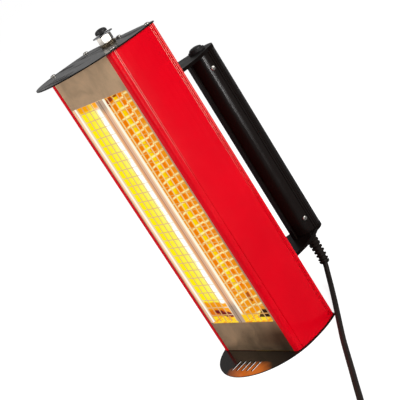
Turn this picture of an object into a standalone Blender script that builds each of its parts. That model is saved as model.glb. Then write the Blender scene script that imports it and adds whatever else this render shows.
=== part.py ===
"""Hand-held infrared lamp for curing paint, standing on its lower end plate.

Metres, +Z up along the lamp, the grille facing -Y and the handle at +Y.
The origin is in the middle of the housing, on the surface that the lamp stands on.
"""

import math

import bmesh
import bpy
from mathutils import Matrix, Vector

# General clearances
GAP = 0.0003            # between pieces that touch
OVERRUN = 0.002         # how far a cutter passes through what it cuts

# Housing: one extruded channel, open at the front between two lips
CASING_LENGTH = 0.350
CASING_WIDTH = 0.1288
CASING_DEPTH = 0.0614
CASING_WALL = 0.0015
SIDE_BULGE = 0.0038
BACK_BULGE = 0.0036
FRONT_CORNER_RADIUS = 0.0042
BACK_CORNER_RADIUS = 0.0030
LIP_WIDTH = 0.0082
GROOVE_WIDTH = 0.0009
GROOVE_DEPTH = 0.0006
FRONT_GROOVE_SETBACK = 0.0050
BACK_GROOVE_SETBACK = 0.0074
BACK_GROOVE_PITCH = 0.0022
PORT_RADIUS = 0.0034
PORT_BORE_RADIUS = 0.0019
FRONT_PORT_SETBACK = 0.0075
BACK_PORT_SETBACK = 0.0064
PORT_WALL_SHARE = 0.12      # how much of its radius a screw port sinks in the wall

# End plates
PLATE_THICKNESS = 0.0012
PLATE_OVERHANG = 0.0013
NOSE_START = -0.008
NOSE_TIP = -0.0719
SLOT_WIDTH = 0.0032
SLOT_LENGTH = 0.0170
SLOT_PITCH = 0.0085
SLOT_COUNT = 5
SLOT_CENTRE_SHARE = 0.58    # of the way from the housing's front to the tip
PLATE_HOLE_RADIUS = 0.0021

# Screws
SCREW_SHANK_RADIUS = 0.0016
SCREW_LENGTH = 0.0120
SCREW_HEAD_RADIUS = 0.0029
SCREW_HEAD_HEIGHT = 0.0018
SCREW_HEAD_CROWN_SHARE = 0.55
SCREW_HEAD_TOP_SHARE = 0.55
SUNK_HEAD_DEPTH = 0.0009
SUNK_HEAD_BELOW = 0.0002
CROSS_SCREW_LENGTH = 0.0062

# Front panel, reflectors and grilles
PANEL_THICKNESS = 0.0006
WINDOW_MARGIN = 0.0034      # between a lip's edge and the window
WINDOW_END = 0.0373         # from either end of the housing to the window
WINDOW_CORNER_RADIUS = 0.002
SHEET_THICKNESS = 0.0006
RIDGE_HALF_WIDTH = 0.00525  # the strip between the two troughs
TROUGH_WALL = 0.0061
FOCAL_SHARE = 0.36          # the trough's focal length as a share of its half width
WIRE_SIZE = 0.0010
WIRE_SINK = 0.0002
GRILLE_SETBACK = 0.0024     # behind the face of the front panel
MESH_PITCH = 0.00996
LONG_WIRE_PITCH = 0.00985
MESH_MARGIN = 0.00215       # between the outermost long wire and the trough's wall
MESH_DROP = 0.00075         # the grilles' middle below that of the reflectors

# Lamps and what holds them
TUBE_RADIUS = 0.0055
TUBE_WALL = 0.0010
TUBE_GRIP = 0.0080
FILAMENT_RADIUS = 0.0011
SUPPORT_THICKNESS = 0.0008
SUPPORT_COUNT = 6
HOLDER_THICKNESS = 0.0012
HOLDER_DEPTH = 0.0420
CERAMIC_SIZE = 0.0168
CERAMIC_LENGTH = 0.0220
CERAMIC_EDGE = 0.0015
SHIELD_THICKNESS = 0.0008
SHIELD_SETBACK = 0.0030
BLOCK_WIDTH = 0.0260
BLOCK_DEPTH = 0.0150
BLOCK_HEIGHT = 0.0420
BLOCK_OFFSET = 0.0210
BLOCK_SCREW_RADIUS = 0.0026
BLOCK_SCREW_DEPTH = 0.0040
BLOCK_POLES = 3

# Start button on the upper end plate
BUTTON_SETBACK = 0.0154     # from the housing's back corners
BARREL_RADIUS = 0.0048
BARREL_CLEARANCE = 0.0004
SWITCH_RADIUS = 0.0085
SWITCH_DEPTH = 0.0240
PLAIN_WASHER_RADIUS = 0.0079
PLAIN_WASHER_THICKNESS = 0.0008
TOOTHED_WASHER_RADIUS = 0.0090
TOOTHED_WASHER_THICKNESS = 0.0009
TOOTH_DEPTH = 0.0013
TOOTH_COUNT = 14
TOOTH_SHARES = (-0.22, 0.22)    # of the pitch of its corners, to the ends of each tip and root
NUT_ACROSS_CORNERS = 0.0163
NUT_HEIGHT = 0.0079
NUT_TURN_SHARE = 0.1
COLLAR_RADIUS = 0.0110
COLLAR_THICKNESS = 0.0010
COLLAR_BORE_RADIUS = 0.0071
BUTTON_RADIUS = 0.0066
BUTTON_HEIGHT = 0.0050
BUTTON_LIFT = 0.0011        # the button's rim above the nut, more than it travels
STEM_RADIUS = 0.0024
STEM_LENGTH = 0.0050
STEM_SPACE = 0.0030
BUTTON_WALL_SHARE = 0.35

# Handle
HANDLE_Y = 0.1035
HANDLE_RADIUS = 0.0180
HANDLE_WALL = 0.0025
RAIL_HALF_WIDTH = 0.0031
RAIL_HEIGHT = 0.0019
GRIP_GROOVE_DEPTH = 0.0008
GRIP_GROOVE_WIDTH = 0.0017
GRIP_GROOVE_PITCH = 0.0032
GRIP_GROOVE_COUNT = 6
GRIP_GROOVE_ANGLE = -6.0    # degrees round the handle to the first groove's middle
LOWER_BRACKET_RISE = 0.0587     # its underside above the lower end of the housing
UPPER_BRACKET_DROP = 0.0582     # its top below the upper end
BRACKET_THICKNESS = 0.0035
BRACKET_HALF_WIDTH = 0.0290
BRACKET_TAPER_START = 0.0700
BRACKET_TAPER_POWER_SHARE = 1.7
BRACKET_FLANGE = 0.0160
FLANGE_THICKNESS = 0.0030
FLANGE_SCREW_SPREAD = 0.0170
SPIGOT_LENGTH = 0.0300
HANDLE_SCREW_ANGLE = -20.0
HANDLE_SCREW_SETBACK = 0.0168
HANDLE_HOLE_RADIUS = 0.0019
SMALL_HEAD_RADIUS = 0.0027

# Thumb button in the upper end of the handle
THUMB_RADIUS = 0.0077
THUMB_HEIGHT = 0.0042
THUMB_LIFT = 0.0020
BEZEL_RADIUS = 0.0094
BEZEL_BORE_RADIUS = 0.0081
BEZEL_HEIGHT = 0.0024
THUMB_SWITCH_RADIUS = 0.0056
THUMB_SWITCH_DEPTH = 0.0200

# Cord, its strain relief, coil, tie and plug
CORD_DIAMETER = 0.0060
GLAND_RADIUS = 0.0082
GLAND_HEIGHT = 0.0058
RELIEF_LENGTH = 0.0345
RELIEF_TOP_RADIUS = 0.0070
RELIEF_END_RADIUS = 0.0056
RIB_DEPTH = 0.0019
RIB_COUNT = 8
CORD_POINT_SPACING = 0.0120
STUB_LENGTH = 0.0020
LEAD_ROUTE = (
    (0.0000, 0.1035, 0.0536),
    (0.0000, 0.1035, 0.0456),
    (0.0003, 0.1034, 0.0397),
    (0.0018, 0.1023, 0.0299),
    (0.0043, 0.0989, 0.0199),
    (0.0083, 0.0922, 0.0118),
    (0.0149, 0.0838, 0.0061),
    (0.0228, 0.0755, 0.0037),
    (0.0311, 0.0674, 0.0032),
    (0.0481, 0.0513, 0.0032),
    (0.0702, 0.0300, 0.0032),
    (0.0945, 0.0065, 0.0032),
    (0.1176, -0.0156, 0.0032),
    (0.1420, -0.0379, 0.0032),
    (0.1650, -0.0587, 0.0032),
    (0.1860, -0.0779, 0.0032),
    (0.2071, -0.0970, 0.0032),
    (0.2255, -0.1140, 0.0035),
    (0.2445, -0.1318, 0.0041),
)
COIL_START = (0.2640, -0.1508)
COIL_HEADING = -45.0        # degrees from +X of the cord where it meets the coil
COIL_OUTER_RADIUS = 0.0447
COIL_TURN_PITCH = 0.0066
COIL_LAYER_PITCH = 0.0066
COIL_LAYERS = 4
COIL_TURNS_PER_LAYER = 2.85
COIL_POINTS_PER_TURN = 24
TIE_THICKNESS = 0.0010
TIE_WIDTH = 0.0120
TIE_SLACK = 0.0011
TIE_CORNER_RADIUS = 0.0040
TIE_ANGLE = 165.0
TAIL_ROUTE = (              # distance along the tail, height
    (0.0000, 0.0244),
    (0.0100, 0.0243),
    (0.0240, 0.0234),
    (0.0400, 0.0213),
    (0.0550, 0.0192),
    (0.0690, 0.0184),
    (0.0800, 0.0183),
)
PLUG_RADIUS = 0.0178
PLUG_NECK_RADIUS = 0.0052
PLUG_NECK_END_RADIUS = 0.0073
PLUG_NECK_LENGTH = 0.0260
PLUG_SHOULDER_RADIUS = 0.0146
PLUG_SHOULDER_SHARE = 0.35
PLUG_SHOULDER_LENGTH = 0.0120
PLUG_BODY_LENGTH = 0.0240
PLUG_FLOOR_GAP = 0.0005
PIN_RADIUS = 0.0024
PIN_LENGTH = 0.0190
PIN_SPREAD = 0.0095
PIN_SOCKET = 0.0040
PIN_TIP_SHARE = 0.6

# Facets
SCREW_SIDES = 10
ROUND_SIDES = 24
CORNER_STEPS = 4
SIDE_STEPS = 8

# Levels and places that follow from the sizes
CASING_BOTTOM = PLATE_THICKNESS + GAP
CASING_TOP = CASING_BOTTOM + CASING_LENGTH
FRONT = -CASING_DEPTH / 2
PLATE_TOP = CASING_TOP + GAP + PLATE_THICKNESS
BUTTON_Y = CASING_DEPTH / 2 - BUTTON_SETBACK
WINDOW_HALF_WIDTH = CASING_WIDTH / 2 - LIP_WIDTH - WINDOW_MARGIN
PANEL_HALF_WIDTH = CASING_WIDTH / 2 - LIP_WIDTH - GAP
TROUGH_OUTER = WINDOW_HALF_WIDTH - GAP
TROUGH_CENTRE = (TROUGH_OUTER + RIDGE_HALF_WIDTH) / 2
TROUGH_HALF_WIDTH = (TROUGH_OUTER - RIDGE_HALF_WIDTH) / 2
FOCAL_LENGTH = TROUGH_HALF_WIDTH * FOCAL_SHARE
PANEL_FRONT = FRONT + GAP
PANEL_BACK = PANEL_FRONT + PANEL_THICKNESS
FLANGE_FRONT = PANEL_BACK + GAP
FLANGE_BACK = FLANGE_FRONT + SHEET_THICKNESS
TROUGH_DEPTH = TROUGH_WALL + TROUGH_HALF_WIDTH ** 2 / (4 * FOCAL_LENGTH)
TROUGH_BACK = FLANGE_FRONT + TROUGH_DEPTH
LAMP_Y = TROUGH_BACK - FOCAL_LENGTH
BLOCK_LEVEL = (CASING_BOTTOM + CASING_TOP) / 2
WINDOW_BOTTOM = CASING_BOTTOM + WINDOW_END
WINDOW_TOP = CASING_TOP - WINDOW_END
REFLECTOR_BOTTOM = WINDOW_BOTTOM + GAP
REFLECTOR_TOP = WINDOW_TOP - GAP
HOLDER_FRONT = FRONT + CASING_WALL + GAP
HOLDER_TOP = REFLECTOR_TOP + GAP
HOLDER_BOTTOM = REFLECTOR_BOTTOM - GAP - HOLDER_THICKNESS
UPPER_BRACKET_TOP = CASING_TOP - UPPER_BRACKET_DROP
UPPER_BRACKET_BOTTOM = UPPER_BRACKET_TOP - BRACKET_THICKNESS
LOWER_BRACKET_BOTTOM = CASING_BOTTOM + LOWER_BRACKET_RISE
LOWER_BRACKET_TOP = LOWER_BRACKET_BOTTOM + BRACKET_THICKNESS
HANDLE_BOTTOM = LOWER_BRACKET_TOP + GAP
HANDLE_TOP = UPPER_BRACKET_BOTTOM - GAP
CORD_RADIUS = CORD_DIAMETER / 2


def clear_scene():
    for obj in list(bpy.data.objects):
        bpy.data.objects.remove(obj, do_unlink=True)


def collection(name):
    made = bpy.data.collections.new(name)
    bpy.context.scene.collection.children.link(made)
    return made


def material(name, colour, roughness, metallic=0.0, transmission=0.0):
    made = bpy.data.materials.new(name)
    made.use_nodes = True
    shader = made.node_tree.nodes["Principled BSDF"]
    shader.inputs["Base Color"].default_value = (*colour, 1)
    shader.inputs["Roughness"].default_value = roughness
    shader.inputs["Metallic"].default_value = metallic
    shader.inputs["Transmission Weight"].default_value = transmission
    made.diffuse_color = (*colour, 1)
    return made


clear_scene()
PARTS = collection("infrared_curing_lamp")
CUTTERS = collection("cutters")
RED_PAINT = ((0.72, 0.010, 0.018), 0.25, 0.0)
BLACK_PAINT = ((0.022, 0.021, 0.022), 0.30, 0.2)
STAINLESS = ((0.45, 0.38, 0.30), 0.35, 1.0)
BRIGHT_STEEL = ((0.75, 0.74, 0.72), 0.20, 1.0)
REFLECTOR_METAL = ((0.90, 0.62, 0.20), 0.20, 1.0)
QUARTZ = ((0.9, 0.9, 0.9), 0.05, 0.0, 0.9)
HOT_WIRE = ((1.0, 0.55, 0.15), 0.5, 0.0)
CERAMIC = ((0.80, 0.76, 0.68), 0.60, 0.0)
BLACK_RUBBER = ((0.015, 0.014, 0.014), 0.65, 0.0)


def place(name, mesh, finish, transform=Matrix.Identity(4)):
    """A named object of the part, with a material of its own."""
    obj = bpy.data.objects.new(name, mesh)
    obj.matrix_world = transform
    PARTS.objects.link(obj)
    mesh.materials.clear()
    mesh.materials.append(material(name, *finish))
    return obj


def as_cutter(obj):
    for holder in obj.users_collection:
        holder.objects.unlink(obj)
    CUTTERS.objects.link(obj)
    obj.hide_render = True
    obj.display_type = "WIRE"
    return obj


def boolean(obj, other, operation):
    modifier = obj.modifiers.new(operation.lower(), "BOOLEAN")
    modifier.operation = operation
    modifier.solver = "EXACT"
    modifier.object = as_cutter(other)


def cut(obj, *others):
    for other in others:
        boolean(obj, other, "DIFFERENCE")


def join(obj, *others):
    for other in others:
        boolean(obj, other, "UNION")


def mesh_from(curve_object):
    """The closed mesh of a curve object, its caps welded to its sides."""
    graph = bpy.context.evaluated_depsgraph_get()
    mesh = bpy.data.meshes.new_from_object(curve_object.evaluated_get(graph))
    work = bmesh.new()
    work.from_mesh(mesh)
    bmesh.ops.remove_doubles(work, verts=work.verts, dist=1e-6)
    work.to_mesh(mesh)
    work.free()
    data = curve_object.data
    bpy.data.objects.remove(curve_object, do_unlink=True)
    bpy.data.curves.remove(data)
    return mesh


def slab(name, outlines, low, high, finish, upright=False):
    """Flat outlines, the first round the others, extruded from low to high.

    They lie in XY and run along Z, or where upright is true they lie in XZ and run along Y.
    """
    curve = bpy.data.curves.new(name, "CURVE")
    curve.dimensions = "2D"
    curve.fill_mode = "BOTH"
    curve.extrude = (high - low) / 2
    for outline in outlines:
        spline = curve.splines.new("POLY")
        spline.points.add(len(outline) - 1)
        for point, (x, y) in zip(spline.points, outline):
            point.co = (x, y, 0, 1)
        spline.use_cyclic_u = True
    obj = bpy.data.objects.new(name, curve)
    bpy.context.scene.collection.objects.link(obj)
    middle = (low + high) / 2
    if upright:
        transform = Matrix.Translation((0, middle, 0)) @ Matrix.Rotation(math.pi / 2, 4, "X")
    else:
        transform = Matrix.Translation((0, 0, middle))
    return place(name, mesh_from(obj), finish, transform)


def turned(name, profile, finish, transform, sides=ROUND_SIDES, ring=False):
    """A turned shape: (radius, height) points from the top of the axis down the outside.

    A ring's profile is closed and keeps off the axis.
    """
    mesh = bpy.data.meshes.new(name)
    points = [(radius, 0, height) for radius, height in profile]
    edges = [(i, i + 1) for i in range(len(points) - 1)]
    if ring:
        edges.append((len(points) - 1, 0))
    mesh.from_pydata(points, edges, [])
    obj = place(name, mesh, finish, transform)
    screw = obj.modifiers.new("turn", "SCREW")
    screw.axis = "Z"
    screw.steps = sides
    screw.render_steps = sides
    screw.use_merge_vertices = True
    screw.merge_threshold = 1e-6
    return obj


def cylinder(name, radius, low, high, finish, transform=Matrix.Identity(4), sides=ROUND_SIDES):
    mesh = bpy.data.meshes.new(name)
    work = bmesh.new()
    bmesh.ops.create_cone(
        work,
        cap_ends=True,
        segments=sides,
        radius1=radius,
        radius2=radius,
        depth=high - low,
        matrix=Matrix.Translation((0, 0, (low + high) / 2)),
    )
    work.to_mesh(mesh)
    work.free()
    return place(name, mesh, finish, transform)


def block(name, low, high, finish, edge=0.0):
    """A box between two corners, with its edges bevelled by edge."""
    mesh = bpy.data.meshes.new(name)
    work = bmesh.new()
    size = [b - a for a, b in zip(low, high)]
    middle = [(a + b) / 2 for a, b in zip(low, high)]
    bmesh.ops.create_cube(work, size=1, matrix=Matrix.Diagonal((*size, 1)))
    work.to_mesh(mesh)
    work.free()
    obj = place(name, mesh, finish, Matrix.Translation(middle))
    if edge:
        bevel = obj.modifiers.new("edges", "BEVEL")
        bevel.width = edge
        bevel.segments = 1
    return obj


def tube(name, points, radius, finish, resolution, shares=None):
    """A round bar along the points, which a list of shares of the radius can swell and thin."""
    curve = bpy.data.curves.new(name, "CURVE")
    curve.dimensions = "3D"
    curve.bevel_depth = radius
    curve.bevel_resolution = resolution
    curve.use_fill_caps = True
    spline = curve.splines.new("POLY")
    spline.points.add(len(points) - 1)
    for i, point in enumerate(points):
        spline.points[i].co = (*point, 1)
        if shares:
            spline.points[i].radius = shares[i]
    obj = bpy.data.objects.new(name, curve)
    bpy.context.scene.collection.objects.link(obj)
    return place(name, mesh_from(obj), finish)


def circle(radius, x=0.0, y=0.0, sides=ROUND_SIDES, turn=0.5):
    """Even points round a middle, the first one turned from +X by this share of a side."""
    steps = [2 * math.pi * (i + turn) / sides for i in range(sides)]
    return [(x + radius * math.cos(a), y + radius * math.sin(a)) for a in steps]


def arc(radius, x, y, start, end, steps=CORNER_STEPS):
    """Points of an arc between two angles in degrees, both ends included."""
    angles = [math.radians(start + (end - start) * i / steps) for i in range(steps + 1)]
    return [(x + radius * math.cos(a), y + radius * math.sin(a)) for a in angles]


def mirrored(half):
    """A closed outline from its right half, which starts and ends on or near x = 0."""
    return half + [(-x, y) for x, y in reversed(half) if x > 1e-9]


def rounded_box(half_width, low, high, radius):
    return (
        arc(radius, half_width - radius, low + radius, -90, 0)
        + arc(radius, half_width - radius, high - radius, 0, 90)
        + arc(radius, radius - half_width, high - radius, 90, 180)
        + arc(radius, radius - half_width, low + radius, 180, 270)
    )


SIDE_LOW = -CASING_DEPTH / 2 + FRONT_CORNER_RADIUS
SIDE_HIGH = CASING_DEPTH / 2 - BACK_CORNER_RADIUS
BACK_HALF_WIDTH = CASING_WIDTH / 2 - BACK_CORNER_RADIUS


def side_x(y):
    """The housing's half width at depth y."""
    share = (2 * y - SIDE_LOW - SIDE_HIGH) / (SIDE_HIGH - SIDE_LOW)
    return CASING_WIDTH / 2 + SIDE_BULGE * (1 - share ** 2)


def back_y(x):
    """The housing's back at distance x from the middle."""
    return CASING_DEPTH / 2 + BACK_BULGE * (1 - (x / BACK_HALF_WIDTH) ** 2)


def side_and_back(inset, grooves=(), start=SIDE_LOW):
    """The right side from the front corner to the middle of the back, moved inwards by inset."""
    places = [start + (SIDE_HIGH - start) * i / SIDE_STEPS for i in range(SIDE_STEPS + 1)]
    clear = [y for y in places if all(abs(y - g) > GROOVE_WIDTH for g in grooves)]
    points = [(side_x(y) - inset, y) for y in clear]
    for g in grooves:
        for offset_share, depth in ((-0.5, 0.0), (-0.25, GROOVE_DEPTH), (0.25, GROOVE_DEPTH), (0.5, 0.0)):
            y = g + offset_share * GROOVE_WIDTH
            points.append((side_x(y) - inset - depth, y))
    points.sort(key=lambda point: point[1])
    points += arc(
        BACK_CORNER_RADIUS - inset, BACK_HALF_WIDTH, CASING_DEPTH / 2 - BACK_CORNER_RADIUS, 0, 90
    )[1:]
    widths = [BACK_HALF_WIDTH * (1 - i / SIDE_STEPS) for i in range(1, SIDE_STEPS + 1)]
    return points + [(x, back_y(x) - inset) for x in widths]


def front_corner(inset):
    return arc(
        FRONT_CORNER_RADIUS - inset,
        CASING_WIDTH / 2 - FRONT_CORNER_RADIUS,
        FRONT + FRONT_CORNER_RADIUS,
        -90,
        0,
    )


def port_places():
    """Where the end plates' screws stand: four near the corners and one at the back."""
    reach = PORT_RADIUS * (1 - PORT_WALL_SHARE) + CASING_WALL
    front_y = FRONT + FRONT_PORT_SETBACK
    rear_y = CASING_DEPTH / 2 - BACK_PORT_SETBACK
    front_x = side_x(front_y) - reach
    rear_x = side_x(rear_y) - reach
    back = (0.0, back_y(0) - reach)
    return [(front_x, front_y), (-front_x, front_y), (rear_x, rear_y), (-rear_x, rear_y), back]


def make_casing():
    grooves = (
        SIDE_LOW - FRONT_CORNER_RADIUS + FRONT_GROOVE_SETBACK + GROOVE_WIDTH,
        CASING_DEPTH / 2 - BACK_GROOVE_SETBACK,
        CASING_DEPTH / 2 - BACK_GROOVE_SETBACK + BACK_GROOVE_PITCH,
    )
    lip = CASING_WIDTH / 2 - LIP_WIDTH
    outer = [(lip, FRONT)] + front_corner(0) + side_and_back(0, grooves)[1:]
    inner = [(lip, FRONT + CASING_WALL)] + front_corner(CASING_WALL) + side_and_back(CASING_WALL)[1:]
    outer_loop = outer + [(-x, y) for x, y in reversed(outer) if x > 1e-9]
    inner_loop = inner + [(-x, y) for x, y in reversed(inner) if x > 1e-9]
    outline = outer_loop + inner_loop[::-1]
    casing = slab("casing", [outline], CASING_BOTTOM, CASING_TOP, RED_PAINT)
    for i, (x, y) in enumerate(port_places()):
        at = Matrix.Translation((x, y, 0))
        name = "screw_port_%d" % (i + 1)
        join(casing, cylinder(name, PORT_RADIUS, CASING_BOTTOM, CASING_TOP, RED_PAINT, at, 12))
    for i, (x, y) in enumerate(port_places()):
        at = Matrix.Translation((x, y, 0))
        low = CASING_BOTTOM - OVERRUN
        high = CASING_TOP + OVERRUN
        cut(casing, cylinder("port_bore_%d" % (i + 1), PORT_BORE_RADIUS, low, high, RED_PAINT, at, 12))
    for level in flange_screw_levels():
        for side in (-1, 1):
            cut(casing, flange_hole("casing_hole", side, level))
    return casing


def plate_outline():
    """The end plates follow the housing with an overhang, and reach forward in a round nose."""
    half_width = side_x(NOSE_START) + PLATE_OVERHANG
    reach = NOSE_START - NOSE_TIP
    steps = 3 * SIDE_STEPS
    angles = [math.pi / 2 * (1 - i / steps) for i in range(steps)]
    nose = [(half_width * math.cos(a), NOSE_START - reach * math.sin(a)) for a in angles]
    return mirrored(nose + side_and_back(-PLATE_OVERHANG, start=NOSE_START))


def slot_outlines():
    """Straight round-ended slots, side by side in the nose."""
    middle = FRONT + (NOSE_TIP - FRONT) * SLOT_CENTRE_SHARE
    radius = SLOT_WIDTH / 2
    run = SLOT_LENGTH / 2 - radius
    slots = []
    for i in range(SLOT_COUNT):
        x = (i - (SLOT_COUNT - 1) / 2) * SLOT_PITCH
        slots.append(arc(radius, x, middle + run, 0, 180) + arc(radius, x, middle - run, 180, 360))
    return slots


def screw_holes():
    return [circle(PLATE_HOLE_RADIUS, x, y, 12) for x, y in port_places()]


def make_end_plates():
    button_hole = circle(BARREL_RADIUS + BARREL_CLEARANCE, 0, BUTTON_Y)
    upper = [plate_outline(), button_hole] + slot_outlines() + screw_holes()
    slab("top_end_plate", upper, CASING_TOP + GAP, PLATE_TOP, BLACK_PAINT)
    lower = [plate_outline()] + slot_outlines()
    plate = slab("bottom_end_plate", lower, 0, PLATE_THICKNESS, BLACK_PAINT)
    wide = SCREW_HEAD_RADIUS + 2 * GAP
    for i, (x, y) in enumerate(port_places()):
        profile = (
            (0, PLATE_THICKNESS + OVERRUN),
            (PLATE_HOLE_RADIUS, PLATE_THICKNESS + OVERRUN),
            (PLATE_HOLE_RADIUS, SUNK_HEAD_BELOW + SUNK_HEAD_DEPTH),
            (wide, SUNK_HEAD_BELOW),
            (wide, -OVERRUN),
            (0, -OVERRUN),
        )
        at = Matrix.Translation((x, y, 0))
        cut(plate, turned("countersink_%d" % (i + 1), profile, BLACK_PAINT, at, 12))


def pan_screw(name, transform, length, head_radius=SCREW_HEAD_RADIUS):
    """A screw with a crowned head that stands on z = 0 and a shank that runs down from it."""
    crown = SCREW_HEAD_HEIGHT * SCREW_HEAD_CROWN_SHARE
    profile = (
        (0, SCREW_HEAD_HEIGHT),
        (head_radius * SCREW_HEAD_TOP_SHARE, SCREW_HEAD_HEIGHT),
        (head_radius, crown),
        (head_radius, 0),
        (SCREW_SHANK_RADIUS, 0),
        (SCREW_SHANK_RADIUS, -length),
        (0, -length),
    )
    turned(name, profile, BRIGHT_STEEL, transform, SCREW_SIDES)


def make_plate_screws():
    for i, (x, y) in enumerate(port_places()):
        pan_screw("top_screw_%d" % (i + 1), Matrix.Translation((x, y, PLATE_TOP + GAP)), SCREW_LENGTH)
        bottom = SUNK_HEAD_BELOW
        shoulder = bottom + SUNK_HEAD_DEPTH - GAP
        profile = (
            (0, bottom + SCREW_LENGTH),
            (SCREW_SHANK_RADIUS, bottom + SCREW_LENGTH),
            (SCREW_SHANK_RADIUS, shoulder),
            (SCREW_HEAD_RADIUS, bottom),
            (0, bottom),
        )
        at = Matrix.Translation((x, y, 0))
        turned("bottom_screw_%d" % (i + 1), profile, BRIGHT_STEEL, at, SCREW_SIDES)


def make_front_panel():
    """The sheet between the lips, whose window shows the two troughs."""
    reach = PANEL_HALF_WIDTH
    low = CASING_BOTTOM + GAP
    high = CASING_TOP - GAP
    outer = [(-reach, low), (reach, low), (reach, high), (-reach, high)]
    window = rounded_box(
        WINDOW_HALF_WIDTH,
        WINDOW_BOTTOM,
        WINDOW_TOP,
        WINDOW_CORNER_RADIUS,
    )
    slab("front_panel", [outer, window], PANEL_FRONT, PANEL_BACK, STAINLESS, upright=True)


def trough_curve(grow):
    """One reflector's trough from its outer wall to its inner one, moved outwards by grow."""
    rim = FLANGE_FRONT + TROUGH_WALL
    steps = 2 * SIDE_STEPS
    points = []
    for i in range(steps + 1):
        across = TROUGH_HALF_WIDTH * (1 - 2 * i / steps)
        y = rim + (TROUGH_HALF_WIDTH ** 2 - across ** 2) / (4 * FOCAL_LENGTH)
        slope = across / (2 * FOCAL_LENGTH)
        shift = grow / math.hypot(1, slope)
        points.append((TROUGH_CENTRE + across + slope * shift, y + shift))
    return points


def make_reflectors():
    """Two polished troughs with straight walls, parabolic backs and outer flanges behind the panel.

    Their inner flanges come forward into the window, where they form the ridge.
    """
    edge = PANEL_HALF_WIDTH
    outline = [(edge, FLANGE_FRONT), (TROUGH_OUTER, FLANGE_FRONT)]
    outline += trough_curve(0.0)
    outline += [(RIDGE_HALF_WIDTH, PANEL_FRONT), (GAP, PANEL_FRONT), (GAP, PANEL_BACK)]
    outline.append((RIDGE_HALF_WIDTH - SHEET_THICKNESS, PANEL_BACK))
    outline += trough_curve(SHEET_THICKNESS)[::-1]
    outline += [(TROUGH_OUTER + SHEET_THICKNESS, FLANGE_BACK), (edge, FLANGE_BACK)]
    for name, side in (("reflector_right", 1), ("reflector_left", -1)):
        shape = [(side * x, y) for x, y in outline]
        slab(name, [shape], REFLECTOR_BOTTOM, REFLECTOR_TOP, REFLECTOR_METAL)


def wire_set(name, boxes, finish):
    """Square wires as separate bars of one mesh."""
    mesh = bpy.data.meshes.new(name)
    work = bmesh.new()
    for low, high in boxes:
        size = [b - a for a, b in zip(low, high)]
        middle = [(a + b) / 2 for a, b in zip(low, high)]
        matrix = Matrix.Translation(middle) @ Matrix.Diagonal((*size, 1))
        bmesh.ops.create_cube(work, size=1, matrix=matrix)
    work.to_mesh(mesh)
    work.free()
    return place(name, mesh, finish)


def make_grilles():
    """A welded mesh in the mouth of each trough: long wires in front, cross wires behind."""
    half = WIRE_SIZE / 2
    reach = TROUGH_HALF_WIDTH - GAP
    low = REFLECTOR_BOTTOM
    high = REFLECTOR_TOP
    rows = 2 * int((high - low - WIRE_SIZE) / (2 * MESH_PITCH)) + 1
    columns = int((2 * TROUGH_HALF_WIDTH - MESH_MARGIN) / LONG_WIRE_PITCH) + 1
    front = PANEL_FRONT + GRILLE_SETBACK
    behind = front + WIRE_SIZE - WIRE_SINK
    for name, side in (("grille_right", 1), ("grille_left", -1)):
        centre = side * TROUGH_CENTRE
        along = []
        for i in range(columns):
            x = side * (TROUGH_OUTER - MESH_MARGIN - i * LONG_WIRE_PITCH)
            along.append(((x - half, front, low), (x + half, front + WIRE_SIZE, high)))
        cross = []
        for i in range(rows):
            z = (low + high) / 2 - MESH_DROP + (i - (rows - 1) / 2) * MESH_PITCH
            cross.append(((centre - reach, behind, z - half), (centre + reach, behind + WIRE_SIZE, z + half)))
        grille = wire_set(name, along, BRIGHT_STEEL)
        join(grille, wire_set(name + "_cross_wires", cross, BRIGHT_STEEL))


def make_lamps():
    """Two quartz tubes with their filaments, ceramic ends and the sheet holders."""
    half_width = port_places()[0][0] - PORT_RADIUS - GAP
    corners = [
        (-half_width, HOLDER_FRONT),
        (half_width, HOLDER_FRONT),
        (half_width, HOLDER_FRONT + HOLDER_DEPTH),
        (-half_width, HOLDER_FRONT + HOLDER_DEPTH),
    ]
    holes = [circle(TUBE_RADIUS + GAP, side * TROUGH_CENTRE, LAMP_Y) for side in (-1, 1)]
    for name, low in (("upper_lamp_holder", HOLDER_TOP), ("lower_lamp_holder", HOLDER_BOTTOM)):
        slab(name, [corners] + holes, low, low + HOLDER_THICKNESS, BRIGHT_STEEL)
    top = HOLDER_TOP + HOLDER_THICKNESS + TUBE_GRIP
    bottom = HOLDER_BOTTOM - TUBE_GRIP
    bore = TUBE_RADIUS - TUBE_WALL
    for label, side in (("right", 1), ("left", -1)):
        x = side * TROUGH_CENTRE
        at = Matrix.Translation((x, LAMP_Y, 0))
        ring = ((bore, top), (TUBE_RADIUS, top), (TUBE_RADIUS, bottom), (bore, bottom))
        turned("lamp_tube_" + label, ring, QUARTZ, at, ring=True)
        make_filament(label, bore - GAP, bottom, top, at)
        make_ceramic("upper_ceramic_" + label, x, HOLDER_TOP + HOLDER_THICKNESS + GAP, 1)
        make_ceramic("lower_ceramic_" + label, x, HOLDER_BOTTOM - GAP, -1)


def make_filament(label, disc_radius, bottom, top, at):
    """The glowing coil as a rod, with the discs that keep it in the middle of its tube."""
    profile = [(0, top), (FILAMENT_RADIUS, top)]
    for i in range(SUPPORT_COUNT):
        z = top - (top - bottom) * (i + 0.5) / SUPPORT_COUNT
        high = z + SUPPORT_THICKNESS / 2
        low = z - SUPPORT_THICKNESS / 2
        profile += [(FILAMENT_RADIUS, high), (disc_radius, high), (disc_radius, low), (FILAMENT_RADIUS, low)]
    profile += [(FILAMENT_RADIUS, bottom), (0, bottom)]
    turned("filament_" + label, profile, HOT_WIRE, at, 8)


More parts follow.
